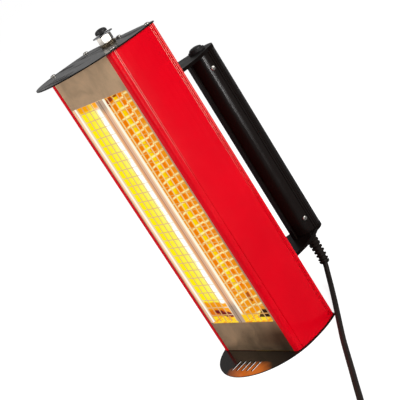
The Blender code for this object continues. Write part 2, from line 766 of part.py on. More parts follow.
def make_ceramic(name, x, face, direction):
    """A ceramic end whose blind bore takes the end of a tube. It stands away from face."""
    half = CERAMIC_SIZE / 2
    far = face + direction * CERAMIC_LENGTH
    low = (x - half, LAMP_Y - half, min(face, far))
    high = (x + half, LAMP_Y + half, max(face, far))
    body = block(name, low, high, CERAMIC, CERAMIC_EDGE)
    depth = face + direction * TUBE_GRIP
    mouth = face - direction * OVERRUN
    at = Matrix.Translation((x, LAMP_Y, 0))
    ends = (min(depth, mouth), max(depth, mouth))
    cut(body, cylinder(name + "_bore", TUBE_RADIUS + GAP, *ends, CERAMIC, at))


def make_inner_parts():
    """The heat shield behind the reflectors and the terminal block on the back wall."""
    front = TROUGH_BACK + SHEET_THICKNESS + SHIELD_SETBACK
    half_width = min(side_x(front), side_x(front + SHIELD_THICKNESS)) - CASING_WALL - GAP
    low = REFLECTOR_BOTTOM
    high = REFLECTOR_TOP
    corners = [(-half_width, low), (half_width, low), (half_width, high), (-half_width, high)]
    slab("heat_shield", [corners], front, front + SHIELD_THICKNESS, BRIGHT_STEEL, upright=True)
    left = BLOCK_OFFSET - BLOCK_WIDTH / 2
    right = BLOCK_OFFSET + BLOCK_WIDTH / 2
    back = back_y(right) - CASING_WALL - GAP
    low = (left, back - BLOCK_DEPTH, BLOCK_LEVEL - BLOCK_HEIGHT / 2)
    high = (right, back, BLOCK_LEVEL + BLOCK_HEIGHT / 2)
    body = block("terminal_block", low, high, CERAMIC, CERAMIC_EDGE)
    for i in range(BLOCK_POLES):
        z = BLOCK_LEVEL + (i - (BLOCK_POLES - 1) / 2) * BLOCK_HEIGHT / BLOCK_POLES
        at = Matrix.Translation((BLOCK_OFFSET, back - BLOCK_DEPTH, z)) @ Matrix.Rotation(math.pi / 2, 4, "X")
        name = "terminal_well_%d" % (i + 1)
        cut(body, cylinder(name, BLOCK_SCREW_RADIUS, -BLOCK_SCREW_DEPTH, OVERRUN, CERAMIC, at, 12))


def make_start_button():
    """A push button clamped in the upper end plate by a tall nut on two washers."""
    at = Matrix.Translation((0, BUTTON_Y, 0))
    inner = BARREL_RADIUS + GAP
    level = PLATE_TOP + GAP
    washer = [circle(PLAIN_WASHER_RADIUS, 0, BUTTON_Y), circle(inner, 0, BUTTON_Y)]
    slab("plain_washer", washer, level, level + PLAIN_WASHER_THICKNESS, BRIGHT_STEEL)
    level += PLAIN_WASHER_THICKNESS + GAP
    teeth = []
    for i in range(2 * TOOTH_COUNT):
        radius = TOOTHED_WASHER_RADIUS - (i % 2) * TOOTH_DEPTH
        for offset_share in TOOTH_SHARES:
            a = math.pi * (i + offset_share) / TOOTH_COUNT
            teeth.append((radius * math.cos(a), BUTTON_Y + radius * math.sin(a)))
    washer = [teeth, circle(inner, 0, BUTTON_Y)]
    slab("toothed_washer", washer, level, level + TOOTHED_WASHER_THICKNESS, BRIGHT_STEEL)
    level += TOOTHED_WASHER_THICKNESS + GAP
    nut = [circle(NUT_ACROSS_CORNERS / 2, 0, BUTTON_Y, 6, NUT_TURN_SHARE), circle(inner, 0, BUTTON_Y)]
    slab("button_nut", nut, level, level + NUT_HEIGHT, BRIGHT_STEEL)
    nut_top = level + NUT_HEIGHT
    collar = [circle(COLLAR_RADIUS, 0, BUTTON_Y), circle(COLLAR_BORE_RADIUS, 0, BUTTON_Y)]
    slab("button_collar", collar, nut_top + GAP, nut_top + GAP + COLLAR_THICKNESS, BRIGHT_STEEL)
    body_top = CASING_TOP
    stem_bore = STEM_RADIUS + GAP
    bore_bottom = nut_top - STEM_LENGTH - STEM_SPACE
    profile = (
        (0, bore_bottom),
        (stem_bore, bore_bottom),
        (stem_bore, nut_top),
        (BARREL_RADIUS, nut_top),
        (BARREL_RADIUS, body_top),
        (SWITCH_RADIUS, body_top),
        (SWITCH_RADIUS, body_top - SWITCH_DEPTH),
        (0, body_top - SWITCH_DEPTH),
    )
    turned("start_switch", profile, BRIGHT_STEEL, at)
    rim = nut_top + GAP + COLLAR_THICKNESS + BUTTON_LIFT
    make_button("start_button", at, BUTTON_RADIUS, BUTTON_HEIGHT, rim, STEM_RADIUS, nut_top - STEM_LENGTH)


def make_button(name, at, radius, height, rim, stem_radius, stem_end):
    """A rubber dome on a stem, with its rim at the given level."""
    wall = height * BUTTON_WALL_SHARE
    steps = 5
    angles = [math.pi / 2 * (1 - i / steps) for i in range(steps + 1)]
    dome = [(radius * math.cos(a), rim + wall + (height - wall) * math.sin(a)) for a in angles]
    dome[0] = (0, rim + height)
    profile = dome + [(radius, rim), (stem_radius, rim), (stem_radius, stem_end), (0, stem_end)]
    turned(name, profile, BLACK_RUBBER, at, 16)


def handle_outline():
    """The grip's section round the origin: a tube with a rail in front and grooves down each side."""
    rail = math.degrees(math.asin(RAIL_HALF_WIDTH / HANDLE_RADIUS))
    pitch = math.degrees(GRIP_GROOVE_PITCH / HANDLE_RADIUS)
    half = math.degrees(GRIP_GROOVE_WIDTH / 2 / HANDLE_RADIUS)
    face = -HANDLE_RADIUS - RAIL_HEIGHT
    points = [(RAIL_HALF_WIDTH, face)]
    points += arc(HANDLE_RADIUS, 0, 0, rail - 90, GRIP_GROOVE_ANGLE - pitch / 2, 2 * SIDE_STEPS)
    for i in range(GRIP_GROOVE_COUNT):
        middle = GRIP_GROOVE_ANGLE + i * pitch
        for offset_share, depth in ((-1, 0), (-0.5, GRIP_GROOVE_DEPTH), (0.5, GRIP_GROOVE_DEPTH), (1, 0)):
            a = math.radians(middle + offset_share * half)
            radius = HANDLE_RADIUS - depth
            points.append((radius * math.cos(a), radius * math.sin(a)))
    last = GRIP_GROOVE_ANGLE + (GRIP_GROOVE_COUNT - 0.5) * pitch
    points += arc(HANDLE_RADIUS, 0, 0, last, 90, SIDE_STEPS)
    return mirrored(points)


def handle_screw_frames():
    """The axes of the four screws across the handle's ends, +Z outwards, from its surface."""
    frames = []
    for level in (HANDLE_BOTTOM + HANDLE_SCREW_SETBACK, HANDLE_TOP - HANDLE_SCREW_SETBACK):
        for angle in (HANDLE_SCREW_ANGLE, 180 - HANDLE_SCREW_ANGLE):
            turn = Matrix.Rotation(math.radians(angle), 4, "Z") @ Matrix.Rotation(math.pi / 2, 4, "Y")
            move = Matrix.Translation((0, HANDLE_Y, level))
            frames.append(move @ turn @ Matrix.Translation((0, 0, HANDLE_RADIUS)))
    return frames


def handle_hole(name, frame):
    depth = CROSS_SCREW_LENGTH + GAP
    return cylinder(name, HANDLE_HOLE_RADIUS, -depth, OVERRUN, BLACK_PAINT, frame, 12)


def bracket_outline(gap):
    """Seen from above: as wide as its flange at the housing, drawn in to the round of the handle."""
    radius = HANDLE_RADIUS + GAP
    steps = SIDE_STEPS
    points = [(BRACKET_HALF_WIDTH * i / 4, back_y(BRACKET_HALF_WIDTH * i / 4) + gap) for i in range(5)]
    for i in range(steps):
        share = i / steps
        width = radius + (BRACKET_HALF_WIDTH - radius) * (1 - share ** BRACKET_TAPER_POWER_SHARE)
        points.append((width, BRACKET_TAPER_START + (HANDLE_Y - BRACKET_TAPER_START) * share))
    return mirrored(points + arc(radius, 0, HANDLE_Y, 0, 90, SIDE_STEPS))


def flange_outline(gap):
    steps = [BRACKET_HALF_WIDTH * i / 4 for i in range(5)]
    front = [(x, back_y(x) + gap) for x in steps]
    back = [(x, back_y(0) + gap + FLANGE_THICKNESS) for x in (BRACKET_HALF_WIDTH, 0.0)]
    return mirrored(front + back)


def flange_screw_levels():
    return (LOWER_BRACKET_BOTTOM - BRACKET_FLANGE / 2, UPPER_BRACKET_TOP + BRACKET_FLANGE / 2)


def flange_frame(side, level):
    back = back_y(0) + GAP + FLANGE_THICKNESS
    place_of = Matrix.Translation((side * FLANGE_SCREW_SPREAD, back + GAP, level))
    return place_of @ Matrix.Rotation(-math.pi / 2, 4, "X")


def flange_hole(name, side, level):
    depth = CROSS_SCREW_LENGTH + OVERRUN
    return cylinder(name, PLATE_HOLE_RADIUS, -depth, OVERRUN, BLACK_PAINT, flange_frame(side, level), 12)


def make_handle():
    at = Matrix.Translation((0, HANDLE_Y, 0))
    section = [handle_outline(), circle(HANDLE_RADIUS - HANDLE_WALL)]
    handle = slab("handle_tube", section, HANDLE_BOTTOM, HANDLE_TOP, BLACK_PAINT)
    handle.matrix_world = at @ handle.matrix_world
    frames = handle_screw_frames()
    cut(handle, *[handle_hole("handle_hole", frame) for frame in frames])
    spigot_radius = HANDLE_RADIUS - HANDLE_WALL - GAP
    lower_level, upper_level = flange_screw_levels()
    plates = (
        ("handle_lower_bracket", LOWER_BRACKET_BOTTOM, LOWER_BRACKET_TOP, lower_level, frames[:2]),
        ("handle_upper_bracket", UPPER_BRACKET_BOTTOM, UPPER_BRACKET_TOP, upper_level, frames[2:]),
    )
    for name, low, high, level, near_frames in plates:
        bracket = slab(name, [bracket_outline(GAP)], low, high, BLACK_PAINT)
        upper = level > high
        flange_low = low if upper else low - BRACKET_FLANGE
        flange_high = high + BRACKET_FLANGE if upper else high
        join(bracket, slab(name + "_flange", [flange_outline(GAP)], flange_low, flange_high, BLACK_PAINT))
        spigot_low = low - SPIGOT_LENGTH if upper else low
        spigot_high = high if upper else high + SPIGOT_LENGTH
        join(bracket, cylinder(name + "_spigot", spigot_radius, spigot_low, spigot_high, BLACK_PAINT, at))
        cut(bracket, *[handle_hole(name + "_hole", frame) for frame in near_frames])
        cut(bracket, *[flange_hole(name + "_flange_hole", side, level) for side in (-1, 1)])
        if upper:
            bore = THUMB_SWITCH_RADIUS + GAP
            bottom = high - THUMB_SWITCH_DEPTH - GAP
            cut(bracket, cylinder("thumb_switch_bore", bore, bottom, high + OVERRUN, BLACK_PAINT, at))
    for i, frame in enumerate(frames):
        seat = frame @ Matrix.Translation((0, 0, GAP))
        pan_screw("handle_screw_%d" % (i + 1), seat, CROSS_SCREW_LENGTH, SMALL_HEAD_RADIUS)
    number = 0
    for level in (lower_level, upper_level):
        for side in (-1, 1):
            number += 1
            pan_screw("bracket_screw_%d" % number, flange_frame(side, level), CROSS_SCREW_LENGTH)


def make_thumb_button():
    at = Matrix.Translation((0, HANDLE_Y, 0))
    seat = UPPER_BRACKET_TOP + GAP
    bezel = [circle(BEZEL_RADIUS, 0, HANDLE_Y), circle(BEZEL_BORE_RADIUS, 0, HANDLE_Y)]
    slab("thumb_bezel", bezel, seat, seat + BEZEL_HEIGHT, BLACK_PAINT)
    stem_bore = STEM_RADIUS + GAP
    bottom = UPPER_BRACKET_TOP - THUMB_SWITCH_DEPTH
    bore_bottom = UPPER_BRACKET_TOP - STEM_LENGTH - STEM_SPACE
    profile = (
        (0, bore_bottom),
        (stem_bore, bore_bottom),
        (stem_bore, UPPER_BRACKET_TOP),
        (THUMB_SWITCH_RADIUS, UPPER_BRACKET_TOP),
        (THUMB_SWITCH_RADIUS, bottom),
        (0, bottom),
    )
    turned("thumb_switch", profile, BLACK_RUBBER, at)
    rim = UPPER_BRACKET_TOP + THUMB_LIFT
    stem_end = UPPER_BRACKET_TOP - STEM_LENGTH
    make_button("thumb_button", at, THUMB_RADIUS, THUMB_HEIGHT, rim, STEM_RADIUS, stem_end)


def smooth(points, spacing):
    """Even points on a smooth curve through the given ones."""
    points = [Vector(point) for point in points]
    guides = [2 * points[0] - points[1]] + points + [2 * points[-1] - points[-2]]
    dense = []
    steps = 24
    for a, b, c, d in zip(guides, guides[1:], guides[2:], guides[3:]):
        for i in range(steps):
            t = i / steps
            dense.append(
                0.5 * (2 * b + (c - a) * t + (2 * a - 5 * b + 4 * c - d) * t * t
                       + (3 * b - a - 3 * c + d) * t * t * t)
            )
    dense.append(points[-1])
    lengths = [0.0]
    for before, after in zip(dense, dense[1:]):
        lengths.append(lengths[-1] + (after - before).length)
    count = max(2, round(lengths[-1] / spacing))
    even = []
    j = 0
    for i in range(count + 1):
        target = lengths[-1] * i / count
        while j < len(lengths) - 2 and lengths[j + 1] < target:
            j += 1
        share = (target - lengths[j]) / (lengths[j + 1] - lengths[j])
        even.append(dense[j].lerp(dense[j + 1], share))
    return even


def part_of_path(points, start, end):
    """The stretch of a path between two distances along it."""
    out = []
    run = 0.0
    for before, after in zip(points, points[1:]):
        step = (after - before).length
        for distance in (start, end):
            if run <= distance < run + step:
                out.append(before.lerp(after, (distance - run) / step))
                if distance == end:
                    return out
        run += step
        if start < run < end:
            out.append(after)
    return out + [points[-1]]


def with_straight_ends(path, spacing):
    """Even points along a path, with short straight stubs so that its end faces stay square to it."""
    length = path_length(path)
    inner = length - 2 * STUB_LENGTH
    count = max(1, round(inner / spacing))
    places = [STUB_LENGTH + inner * i / count for i in range(count + 1)]
    middle = [part_of_path(path, 0, place_along)[-1] for place_along in places]
    first = (path[1] - path[0]).normalized()
    last = (path[-1] - path[-2]).normalized()
    ends = (path[0] + STUB_LENGTH * first, path[-1] - STUB_LENGTH * last)
    return [path[0], ends[0]] + middle[1:-1] + [ends[1], path[-1]]


def path_length(points):
    return sum((b - a).length for a, b in zip(points, points[1:]))


def coil_frame():
    """The coil's middle and the angle at which the cord meets it. It winds clockwise."""
    heading = math.radians(COIL_HEADING)
    start = Vector((*COIL_START, 0))
    inward = Vector((math.sin(heading), -math.cos(heading), 0))
    return start + COIL_OUTER_RADIUS * inward, heading + math.pi / 2


def tangent(angle):
    """The way that the cord runs where it passes an angle round the coil."""
    return Vector((math.sin(angle), -math.cos(angle), 0))


def coil_base():
    return TIE_THICKNESS + 2 * GAP + CORD_RADIUS


def coil_points():
    """Loops that spiral in and out again, climbing a layer in the half turn where the spiral reverses."""
    middle, first_angle = coil_frame()
    turns = COIL_LAYERS * COIL_TURNS_PER_LAYER
    count = round(turns * COIL_POINTS_PER_TURN)
    points = []
    for i in range(count + 1):
        run = turns * i / count
        layer = min(int(run / COIL_TURNS_PER_LAYER), COIL_LAYERS - 1)
        along = run - layer * COIL_TURNS_PER_LAYER
        inwards = along if layer % 2 == 0 else COIL_TURNS_PER_LAYER - along
        radius = COIL_OUTER_RADIUS - COIL_TURN_PITCH * inwards
        height = coil_base()
        for j in range(1, COIL_LAYERS):
            share = min(1.0, max(0.0, 2 * (run - j * COIL_TURNS_PER_LAYER) + 0.5))
            height += COIL_LAYER_PITCH * share * share * (3 - 2 * share)
        angle = first_angle - 2 * math.pi * run
        points.append(middle + Vector((radius * math.cos(angle), radius * math.sin(angle), height)))
    start = tangent(first_angle)
    end = tangent(first_angle - 2 * math.pi * turns)
    return [points[0] - CORD_DIAMETER * start] + points + [points[-1] + CORD_DIAMETER * end]


def least_gap(points):
    """The least clear space between turns of the coil that aren't neighbours along the cord."""
    skip = COIL_POINTS_PER_TURN // 3
    least = min(
        (points[j] - points[i]).length
        for i in range(len(points))
        for j in range(i + skip, len(points))
    )
    return least - CORD_DIAMETER


def make_cord():
    coil = coil_points()
    route = smooth(LEAD_ROUTE + (tuple(coil[0]),), CORD_DIAMETER / 4)
    gland_top = LOWER_BRACKET_BOTTOM - GAP
    at = Matrix.Translation((0, HANDLE_Y, 0))
    profile = (
        (0, gland_top),
        (GLAND_RADIUS, gland_top),
        (GLAND_RADIUS, gland_top - GLAND_HEIGHT),
        (0, gland_top - GLAND_HEIGHT),
    )
    turned("cord_gland", profile, BLACK_RUBBER, at, 16)
    make_relief(part_of_path(route, 0, RELIEF_LENGTH))
    total = path_length(route)
    lead = part_of_path(route, RELIEF_LENGTH + GAP, total - GAP)
    lead = with_straight_ends(lead, CORD_POINT_SPACING)
    tube("cord_lead", lead, CORD_RADIUS, BLACK_RUBBER, 3)
    tube("cord_coil", coil, CORD_RADIUS, BLACK_RUBBER, 1)
    make_tie()
    heading = (coil[-1] - coil[-2]).normalized()
    end = Vector((coil[-1].x, coil[-1].y, 0))
    tail = [end + heading * along + Vector((0, 0, height)) for along, height in TAIL_ROUTE]
    tail = smooth(tail, CORD_DIAMETER / 4)
    tail = with_straight_ends(part_of_path(tail, GAP, path_length(tail) - GAP), CORD_POINT_SPACING)
    tube("cord_tail", tail, CORD_RADIUS, BLACK_RUBBER, 3)
    make_plug(end + heading * TAIL_ROUTE[-1][0], heading)
    print("least gap in the coil %.2f mm" % (1000 * least_gap(coil)))
    print("cord length %.3f m" % (path_length(lead) + path_length(coil) + path_length(tail)))


def make_relief(path):
    """A tapered sleeve of ribs along the first stretch of the cord."""
    length = path_length(path)
    points = []
    shares = []
    stations = 2 * RIB_COUNT
    for i in range(stations):
        share = i / (stations - 1)
        outer = RELIEF_TOP_RADIUS + (RELIEF_END_RADIUS - RELIEF_TOP_RADIUS) * share
        radius = outer if i % 2 == 0 or i == stations - 1 else outer - RIB_DEPTH
        points.append(part_of_path(path, 0, length * share)[-1])
        shares.append(radius / RELIEF_TOP_RADIUS)
    tube("strain_relief", points, RELIEF_TOP_RADIUS, BLACK_RUBBER, 2, shares)


def make_tie():
    """A strap round the coil's bundle of turns."""
    middle, _ = coil_frame()
    inner = COIL_OUTER_RADIUS - COIL_TURN_PITCH * COIL_TURNS_PER_LAYER
    half = (COIL_OUTER_RADIUS - inner) / 2 + CORD_RADIUS + TIE_SLACK
    low = TIE_THICKNESS + GAP
    high = coil_base() + (COIL_LAYERS - 1) * COIL_LAYER_PITCH + CORD_RADIUS + GAP
    around = rounded_box(half, low, high, TIE_CORNER_RADIUS)
    edge = TIE_THICKNESS
    outside = rounded_box(half + edge, low - edge + GAP / 2, high + edge, TIE_CORNER_RADIUS + edge)
    tie = slab("coil_tie", [outside, around], -TIE_WIDTH / 2, TIE_WIDTH / 2, BLACK_RUBBER, upright=True)
    turn = Matrix.Rotation(math.radians(TIE_ANGLE), 4, "Z")
    out = Matrix.Translation(((COIL_OUTER_RADIUS + inner) / 2, 0, 0))
    tie.matrix_world = Matrix.Translation(middle) @ turn @ out @ tie.matrix_world


def make_plug(start, heading):
    """A round moulded mains plug with two pins, lying on the floor in line with the cord's tail."""
    axis = Vector((start.x, start.y, PLUG_RADIUS + PLUG_FLOOR_GAP))
    turn = Vector((0, 0, -1)).rotation_difference(heading).to_matrix().to_4x4()
    at = Matrix.Translation(axis) @ turn
    shoulder = -PLUG_NECK_LENGTH - PLUG_SHOULDER_LENGTH
    face = shoulder - PLUG_BODY_LENGTH
    profile = (
        (0, 0),
        (PLUG_NECK_RADIUS, 0),
        (PLUG_NECK_END_RADIUS, -PLUG_NECK_LENGTH),
        (PLUG_SHOULDER_RADIUS, -PLUG_NECK_LENGTH - PLUG_SHOULDER_LENGTH * PLUG_SHOULDER_SHARE),
        (PLUG_RADIUS, shoulder),
        (PLUG_RADIUS, face),
        (0, face),
    )
    body = turned("plug_body", profile, BLACK_RUBBER, at)
    sideways = heading.cross(Vector((0, 0, 1)))
    for label, side in (("left", -1), ("right", 1)):
        seat = Matrix.Translation(side * PIN_SPREAD * sideways) @ at
        name = "plug_pin_" + label
        socket = (face - OVERRUN, face + PIN_SOCKET)
        cut(body, cylinder(name + "_socket", PIN_RADIUS + GAP, *socket, BLACK_RUBBER, seat, 12))
        root = face + PIN_SOCKET - GAP
        tip = root - PIN_LENGTH
        profile = (
            (0, root),
            (PIN_RADIUS, root),
            (PIN_RADIUS, tip + PIN_RADIUS),
            (PIN_RADIUS * PIN_TIP_SHARE, tip),
            (0, tip),
        )
        turned(name, profile, BRIGHT_STEEL, seat, 12)


def shade_round_pieces():
    for obj in PARTS.objects:
        obj.data.shade_smooth()
        obj.data.set_sharp_from_angle(angle=math.radians(35))


make_casing()
make_end_plates()
make_plate_screws()
make_front_panel()
make_reflectors()
make_grilles()
make_lamps()
make_inner_parts()
make_start_button()
make_handle()
make_thumb_button()
make_cord()
shade_round_pieces()
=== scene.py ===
"""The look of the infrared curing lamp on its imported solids, in metres, +Z up along the lamp."""

import math

import bmesh
import bpy
from mathutils import Matrix, Vector


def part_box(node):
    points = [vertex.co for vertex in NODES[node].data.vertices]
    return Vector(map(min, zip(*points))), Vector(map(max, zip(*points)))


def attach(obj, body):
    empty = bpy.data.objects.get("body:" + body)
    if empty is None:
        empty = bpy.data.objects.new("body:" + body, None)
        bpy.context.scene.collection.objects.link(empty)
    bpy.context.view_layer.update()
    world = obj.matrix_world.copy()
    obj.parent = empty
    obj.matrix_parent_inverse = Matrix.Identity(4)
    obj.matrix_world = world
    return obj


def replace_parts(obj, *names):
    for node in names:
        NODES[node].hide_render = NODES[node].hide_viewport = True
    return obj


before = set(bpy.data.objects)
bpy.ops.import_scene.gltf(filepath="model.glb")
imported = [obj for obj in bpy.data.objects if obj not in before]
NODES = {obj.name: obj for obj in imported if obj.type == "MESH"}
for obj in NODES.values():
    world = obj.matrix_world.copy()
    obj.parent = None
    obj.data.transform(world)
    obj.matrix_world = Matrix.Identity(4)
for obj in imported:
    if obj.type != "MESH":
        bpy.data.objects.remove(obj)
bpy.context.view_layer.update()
SCENE = bpy.context.scene

# Places and sizes that repeat the source's
HANDLE_Y = 0.1035
HANDLE_SCREW_ANGLE = -20.0
HANDLE_SCREW_SEAT = 0.0183
TROUGH_MIDDLE = 0.028875
TROUGH_HALF_WIDTH = 0.023625
RIM_DEPTH = 0.028
RIDGE_FRONT = -0.0290
RIDGE_HALF_WIDTH = 0.00525
WINDOW_HALF_WIDTH = 0.0525
WINDOW_LOW = 0.0397
WINDOW_HIGH = 0.3141
WIRE_RADIUS = 0.0005
LONG_WIRES = 5
LONG_WIRE_PITCH = 0.00985
OUTER_LONG_WIRE = 0.05035
CROSS_WIRES = 27
CROSS_WIRE_PITCH = 0.00996
NUT_CORNER_RADIUS = 0.00815
NUT_BORE = 0.0051
SCREW_SHANK_RADIUS = 0.0016
HEAD_HEIGHT = 0.0018
PLATE_HEAD_RADIUS = 0.0029
HANDLE_HEAD_RADIUS = 0.0027
LONG_SCREW = 0.0120
SHORT_SCREW = 0.0062
CORD_RADIUS = 0.0030
RELIEF_LENGTH = 0.0345
RELIEF_TOP_RADIUS = 0.0070
RELIEF_END_RADIUS = 0.0056
LEAD_ROUTE = (
    (0.0000, 0.1035, 0.0536),
    (0.0000, 0.1035, 0.0456),
    (0.0003, 0.1034, 0.0397),
    (0.0018, 0.1023, 0.0299),
    (0.0043, 0.0989, 0.0199),
    (0.0083, 0.0922, 0.0118),
    (0.0149, 0.0838, 0.0061),
    (0.0228, 0.0755, 0.0037),
    (0.0311, 0.0674, 0.0032),
    (0.0481, 0.0513, 0.0032),
    (0.0702, 0.0300, 0.0032),
    (0.0945, 0.0065, 0.0032),
    (0.1176, -0.0156, 0.0032),
    (0.1420, -0.0379, 0.0032),
    (0.1650, -0.0587, 0.0032),
    (0.1860, -0.0779, 0.0032),
    (0.2071, -0.0970, 0.0032),
    (0.2255, -0.1140, 0.0035),
    (0.2445, -0.1318, 0.0041),
)
COIL_START = (0.2640, -0.1508)
COIL_HEADING = -45.0
COIL_OUTER_RADIUS = 0.0447
COIL_PITCH = 0.0066
COIL_LAYERS = 4
COIL_TURNS_PER_LAYER = 2.85
COIL_BASE = 0.0046
TAIL_ROUTE = (
    (0.0000, 0.0244),
    (0.0100, 0.0243),
    (0.0240, 0.0234),
    (0.0400, 0.0213),
    (0.0550, 0.0192),
    (0.0690, 0.0184),
    (0.0800, 0.0183),
)
PLUG_RADIUS = 0.0178
PLUG_FLOOR_GAP = 0.0005
PIN_SPREAD = 0.0095

# Detail that the solids leave out
THREAD_PITCH = 0.0006
THREAD_DEPTH = 0.00022
RECESS_DEPTH = 0.0011
RELIEF_CORE_RADIUS = 0.0044
RELIEF_RIBS = 7.4
NECK_RIBS = 6
FINGER_RINGS = 5
SOCKET_RADIUS = 0.0027

# The photo's camera, and the fixed slopes of its view into the troughs
CAMERA_PLACE = (0.87608, -0.55314, 0.43469)
CAMERA_TURN = (57.391, 14.308, -32.54)
FOCAL_LENGTH_MM = 93.64
SIDEWAYS_SLOPE = 1.58
TUBE_EDGE_SLOPE = 1.69
IMAGE_SLOPE = 0.473
DEPTH_SHARE = 1.63
VIEW_HEIGHT = 0.4347
VIEW_DISTANCE = 0.533

SHARP_EDGE = math.radians(38)


# Camera

def placed(name, data):
    """A new object in the scene."""
    obj = bpy.data.objects.new(name, data)
    SCENE.collection.objects.link(obj)
    return obj


def make_camera():
    """The camera fitted to the photo, given by the way it looks and its roll."""
    data = bpy.data.cameras.new("photo_camera")
    data.lens = FOCAL_LENGTH_MM
    data.sensor_width = 36.0
    data.clip_start = 0.01
    data.clip_end = 50.0
    azimuth, elevation, roll = (math.radians(a) for a in CAMERA_TURN)
    forward = Vector((
        -math.sin(azimuth) * math.cos(elevation),
        math.cos(azimuth) * math.cos(elevation),
        -math.sin(elevation),
    ))
    level = forward.cross(Vector((0, 0, 1))).normalized()
    above = level.cross(forward)
    right = math.cos(roll) * level + math.sin(roll) * above
    up = -math.sin(roll) * level + math.cos(roll) * above
    camera = placed("photo_camera", data)
    turn = Matrix((right, up, -forward)).transposed().to_4x4()
    camera.matrix_world = Matrix.Translation(CAMERA_PLACE) @ turn
    SCENE.camera = camera


make_camera()


# Materials

class Shader:
    """A node material whose detail lies in the part's own coordinates."""

    def __init__(self, name):
        self.material = bpy.data.materials.new(name)
        self.material.use_nodes = True
        self.tree = self.material.node_tree
        self.principled = self.tree.nodes["Principled BSDF"]
        self.place = self.node("ShaderNodeTexCoord").outputs["Object"]

    def node(self, kind, **settings):
        made = self.tree.nodes.new(kind)
        for key, value in settings.items():
            setattr(made, key, value)
        return made

    def link(self, source, target):
        self.tree.links.new(source, target)

    def set(self, name, value):
        self.principled.inputs[name].default_value = value

    def axes(self):
        """The x, y and z of the point."""
        split = self.node("ShaderNodeSeparateXYZ")
        self.link(self.place, split.inputs[0])
        return split.outputs

    def maths(self, operation, *values):
        made = self.node("ShaderNodeMath", operation=operation)
        for socket, value in zip(made.inputs, values):
            if isinstance(value, (int, float)):
                socket.default_value = value
            else:
                self.link(value, socket)
        return made.outputs[0]

    def plus(self, a, b):
        return self.maths("ADD", a, b)

    def minus(self, a, b):
        return self.maths("SUBTRACT", a, b)

    def times(self, a, b):
        return self.maths("MULTIPLY", a, b)

    def over(self, a, b):
        return self.maths("DIVIDE", a, b)

    def larger(self, a, b):
        return self.maths("MAXIMUM", a, b)

    def away(self, value, place):
        """The distance between a value and a place, either way."""
        return self.maths("ABSOLUTE", self.minus(value, place))

    def noise(self, scale, detail=3.0, rough=0.5, stretch=(1, 1, 1), distortion=0.0):
        """Noise that is drawn out along an axis where stretch is under 1."""
        mapping = self.node("ShaderNodeMapping")
        mapping.inputs["Scale"].default_value = stretch
        self.link(self.place, mapping.inputs["Vector"])
        made = self.node("ShaderNodeTexNoise")
        made.inputs["Scale"].default_value = scale
        made.inputs["Detail"].default_value = detail
        made.inputs["Roughness"].default_value = rough
        made.inputs["Distortion"].default_value = distortion
        self.link(mapping.outputs[0], made.inputs["Vector"])
        return made.outputs["Fac"]

    def span(self, value, low, high, to_low=0.0, to_high=1.0, smooth=False):
        """The value brought from one range to another, and kept inside it."""
        made = self.node("ShaderNodeMapRange")
        made.interpolation_type = "SMOOTHSTEP" if smooth else "LINEAR"
        self.link(value, made.inputs["Value"])
        ends = {"From Min": low, "From Max": high, "To Min": to_low, "To Max": to_high}
        for name, number in ends.items():
            made.inputs[name].default_value = number
        return made.outputs[0]

    def ramp(self, value, stops):
        """A colour between (position, colour) stops."""
        made = self.node("ShaderNodeValToRGB")
        items = made.color_ramp.elements
        while len(items) < len(stops):
            items.new(1.0)
        for item, (position, colour) in zip(items, stops):
            item.position = position
            item.color = (*colour, 1.0)
        self.link(value, made.inputs["Fac"])
        return made.outputs["Color"]

    def mix(self, share, a, b, blend="MIX"):
        """Colour a with this share of b laid over it."""
        made = self.node("ShaderNodeMix", data_type="RGBA", blend_type=blend)
        for socket, value in ((made.inputs[0], share), (made.inputs[6], a), (made.inputs[7], b)):
            if isinstance(value, (int, float)):
                socket.default_value = value
            elif isinstance(value, tuple):
                socket.default_value = (*value, 1.0)
            else:
                self.link(value, socket)
        return made.outputs[2]

    def bump(self, height, distance):
        """Raises or sinks the surface's shading by up to distance."""
        made = self.node("ShaderNodeBump")
        made.inputs["Strength"].default_value = 1.0
        made.inputs["Distance"].default_value = distance
        self.link(height, made.inputs["Height"])
        self.link(made.outputs[0], self.principled.inputs["Normal"])

    def so_far(self, name):
        """What already feeds one of the shader's sockets."""
        return self.principled.inputs[name].links[0].from_socket

    def colour(self, socket):
        self.link(socket, self.principled.inputs["Base Color"])

    def glow(self, socket, strength):
        self.link(socket, self.principled.inputs["Emission Color"])
        self.set("Emission Strength", strength)

    def roughness(self, socket):
        self.link(socket, self.principled.inputs["Roughness"])


def shade(colour, share):
    """The colour made darker or lighter."""
    return tuple(min(1.0, max(0.0, c * share)) for c in colour)


def painted(name, colour, roughness, peel, specular):
    """Powder coat: a fine orange peel, slow tone changes and a few rubbed marks."""
    s = Shader(name)
    slow = s.noise(14, 3)
    fine = s.noise(1400, 2)
    base = s.ramp(slow, ((0.30, shade(colour, 0.93)), (0.70, shade(colour, 1.05))))
    rubbed = s.span(s.noise(60, 6, 0.65, (1, 1, 0.35)), 0.62, 0.80)
    tone = tuple(min(1.0, c * 1.04 + 0.002) for c in colour)
    base = s.mix(s.times(rubbed, 0.5), base, tone)
    s.colour(base)
    rough = s.span(s.noise(90, 5, 0.6), 0.3, 0.7, roughness * 0.82, roughness * 1.2)
    s.roughness(s.plus(rough, s.times(rubbed, 0.08)))
    s.bump(fine, peel)
    s.set("Specular IOR Level", specular)
    return s


